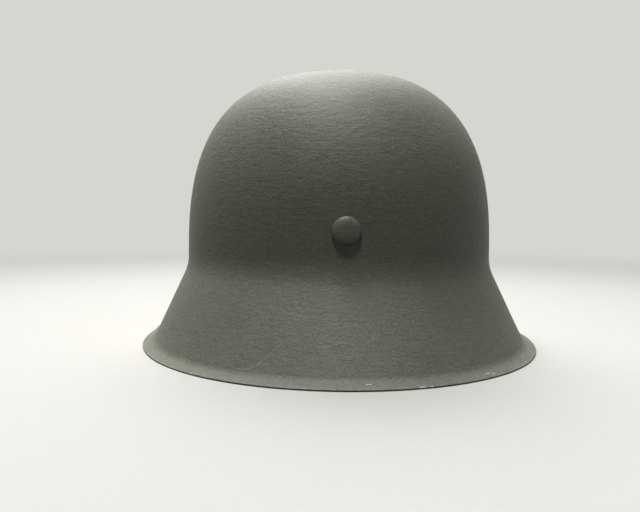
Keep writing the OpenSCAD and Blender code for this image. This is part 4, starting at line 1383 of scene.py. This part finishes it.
class HELMET_OT_chin_strap(bpy.types.Operator):
    """Models the chin strap's two halves and hangs them between their bales and the helmet"""

    bl_idname = "helmet.chin_strap"
    bl_label = "Chin strap"

    def execute(self, context):
        form = StrapForm()
        s = form.s
        long_half = self.strap("long_strap_leather", form, refined(form.long_half(), STRAP_STEP), 1)
        top = form.ground + 2 * form.layer
        reaches = [s.end_at + s.first_hole + s.hole_pitch * i for i in range(4)]
        holes = [(Vector((reach, form.middle_y, top)), Vector((0, 0, 1))) for reach in reaches]
        cut(long_half, cutter(holes, s.hole_radius, form.layer, 24))
        short_half = self.strap("short_strap_leather", form, refined(form.short_half(), STRAP_STEP), -1)
        bpy.ops.mesh.primitive_cube_add(size=1, location=(-s.buckle_at, form.middle_y, form.buckle_z))
        slot = bpy.context.object
        slot.scale = (s.slot_length, s.slot_width, 2 * form.buckle_z + form.layer)
        cut(short_half, slot)
        halves = (
            (long_half, 1, "long_strap", "right_bale", s.second_fold + s.fold_radius),
            (short_half, -1, "short_strap", "left_bale", s.buckle_at + s.short_tail + s.fold_radius),
        )
        for piece, side, node, bale, end in halves:
            stud = (Vector((side * form.bar.x, form.middle_y, form.bar.y - s.stud_drop)), Vector((1, 0, 0)))
            cut(piece, cutter([stud], s.stud_hole, 3 * s.thick, 24))
            close_up(piece, 45)
            drop_marks(piece)
            dress(piece, "strap_leather", None, node)
            self.show_raw_edges(piece)
            start = (side * form.bar.x, form.middle_y, form.bar.y - s.tail_drop)
            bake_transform(piece, bale, "helmet", start, (side * end, form.middle_y, form.ground))
        return {"FINISHED"}

    def strap(self, name, form, path, side):
        """One half, swept along its path, with its far end brought to a point on the right side."""
        runs = [0.0]
        for before, after in zip(path, path[1:]):
            runs.append(runs[-1] + (after - before).length)
        frames = []
        for i, point in enumerate(path):
            along = (path[min(i + 1, len(path) - 1)] - path[max(i - 1, 0)]).normalized()
            share = form.point_share(runs[-1] - runs[i]) if side > 0 else 1.0
            frames.append((point, Vector((-along.y, along.x)), share))

        def place(frame, across, up):
            point, out, share = frame
            spot = point + out * up
            return Vector((side * spot.x, form.middle_y + across * share, spot.y))

        return sweep(name, form.section(), frames, place)

    def show_raw_edges(self, piece):
        piece.data.materials.append(finish_of("raw_edge"))
        for face in piece.data.polygons:
            face.material_index = int(abs(face.normal.y) > 0.8)


class HELMET_OT_hardware(bpy.types.Operator):
    """Gives the frame's own metal pieces their finishes"""

    bl_idname = "helmet.hardware"
    bl_label = "Hardware"

    def execute(self, context):
        for part in frame["record"]["subparts"]:
            node = frame["nodes"][part["node"]]
            node.data.materials.clear()
            node.data.materials.append(finish_of(part["material_slot"]))
        return {"FINISHED"}


# Name, place, diameter, power in watts and beam in degrees of each lamp, and the point that all are aimed at
LAMPS = [
    ("key", (-0.12, -0.54, 1.52), 0.20, 8.2, 180),
    ("overhead", (-0.22, 0.14, 1.60), 0.5, 14.8, 180),
    ("back", (-0.10, 0.90, 1.15), 1.2, 3.6, 70),
]
LAMPS_AIM = (0, 0, 0.07)
# Light from the world, which only fills the shadows
FILL = 0.01
# How much of its colour the floor throws back as diffuse light
FLOOR_BOUNCE = 0.06
# Where the floor starts to fade into the background, and where it has
FLOOR_FADE = (0.28, 1.1)


def lamp(name, place, size, power, beam):
    light = bpy.data.lights.new(name, "AREA")
    light.shape = "DISK"
    light.size = size
    light.energy = power
    light.spread = radians(beam)
    lamp_object = bpy.data.objects.new(name, light)
    bpy.context.scene.collection.objects.link(lamp_object)
    lamp_object.location = place
    lamp_object.rotation_mode = "QUATERNION"
    lamp_object.rotation_quaternion = (Vector(LAMPS_AIM) - Vector(place)).to_track_quat("-Z", "Y")


def seen(tree):
    """1 for rays that show the background: straight to the camera, or by way of metal or glass."""
    path = tree.nodes.new("ShaderNodeLightPath")
    total = path.outputs["Is Camera Ray"]
    for name in ("Is Glossy Ray", "Is Transmission Ray"):
        node = tree.nodes.new("ShaderNodeMath")
        node.operation = "MAXIMUM"
        tree.links.new(total, node.inputs[0])
        tree.links.new(path.outputs[name], node.inputs[1])
        total = node.outputs[0]
    return total


class HELMET_OT_stage(bpy.types.Operator):
    """Sets the camera, the lamps, the pale floor and the world"""

    bl_idname = "helmet.stage"
    bl_label = "Stage"

    def execute(self, context):
        scene = context.scene
        self.place_camera(scene)
        for settings in LAMPS:
            lamp(*settings)
        self.lay_floor()
        world = bpy.data.worlds.new("studio")
        scene.world = world
        world.use_nodes = True
        tree = world.node_tree
        back = tree.nodes["Background"]
        tone = tree.nodes.new("ShaderNodeMix")
        tone.data_type = "RGBA"
        tree.links.new(seen(tree), tone.inputs[0])
        tone.inputs[6].default_value = (FILL, FILL, FILL, 1)
        tone.inputs[7].default_value = (*values("helmet_colours").floor, 1)
        tree.links.new(tone.outputs[2], back.inputs["Color"])
        scene.view_settings.view_transform = "Standard"
        return {"FINISHED"}

    def place_camera(self, scene):
        place = values("helmet_camera")
        camera = bpy.data.cameras.new("camera")
        camera.sensor_width = 36
        camera.lens = place.lens
        camera_object = bpy.data.objects.new("camera", camera)
        scene.collection.objects.link(camera_object)
        behind = -place.distance * cos(place.round_by)
        camera_object.location = (-place.distance * sin(place.round_by), behind, place.height)
        camera_object.rotation_mode = "QUATERNION"
        look = Matrix.Rotation(-place.aim_right, 4, "Z") @ Matrix.Rotation(pi / 2 - place.aim_down, 4, "X")
        camera_object.rotation_quaternion = (look @ Matrix.Rotation(place.roll, 4, "Z")).to_quaternion()
        scene.camera = camera_object

    def lay_floor(self):
        """A pale floor that runs out into the background, so that no horizon shows."""
        deselect()
        bpy.ops.mesh.primitive_circle_add(vertices=128, radius=6, fill_type="NGON")
        floor = bpy.context.object
        floor.name = floor.data.name = "floor"
        finish = Finish("pale_floor", Roughness=0.9, Specular_IOR_Level=0.1)
        tone = values("helmet_colours").floor
        shown = seen(finish.tree)
        finish.set(Base_Color=finish.mix(shown, shade(tone, FLOOR_BOUNCE), tone))
        away = finish.vector("LENGTH", finish.object, output="Value")
        far = finish.maths("MULTIPLY", finish.between(away, *FLOOR_FADE), shown)
        glow = finish.add("ShaderNodeEmission", Color=(*tone, 1), Strength=1.0)
        mixed = finish.add("ShaderNodeMixShader", Fac=far)
        finish.tree.links.new(finish.shader.outputs["BSDF"], mixed.inputs[1])
        finish.tree.links.new(glow.outputs[0], mixed.inputs[2])
        output = next(node for node in finish.tree.nodes if node.type == "OUTPUT_MATERIAL")
        finish.tree.links.new(mixed.outputs[0], output.inputs["Surface"])
        finish.on(floor)


class HELMET_PT_panel(bpy.types.Panel):
    """Lists the helmet's sizes and pieces"""

    bl_idname = "HELMET_PT_panel"
    bl_label = "Steel helmet"
    bl_space_type = "VIEW_3D"
    bl_region_type = "UI"
    bl_category = "Helmet"

    def draw(self, context):
        for group, kind in PROPERTY_GROUPS.items():
            box = self.layout.box()
            box.label(text=kind.__doc__)
            for name in kind.__annotations__:
                box.prop(getattr(context.scene, group), name)
        for step in STEPS:
            self.layout.operator(step.bl_idname)


STEPS = [
    HELMET_OT_stage,
    HELMET_OT_shell,
    HELMET_OT_split_rivets,
    HELMET_OT_bands,
    HELMET_OT_felts,
    HELMET_OT_leather_liner,
    HELMET_OT_chin_strap,
    HELMET_OT_hardware,
]
CLASSES = [*PROPERTY_GROUPS.values(), *STEPS, HELMET_PT_panel]


def register():
    for kind in CLASSES:
        bpy.utils.register_class(kind)
    for group, kind in PROPERTY_GROUPS.items():
        setattr(bpy.types.Scene, group, PointerProperty(type=kind))


def unregister():
    for group in PROPERTY_GROUPS:
        delattr(bpy.types.Scene, group)
    for kind in reversed(CLASSES):
        bpy.utils.unregister_class(kind)


def main():
    register()
    for step in STEPS:
        group, name = step.bl_idname.split(".")
        getattr(getattr(bpy.ops, group), name)()


if __name__ == "__main__":
    main()
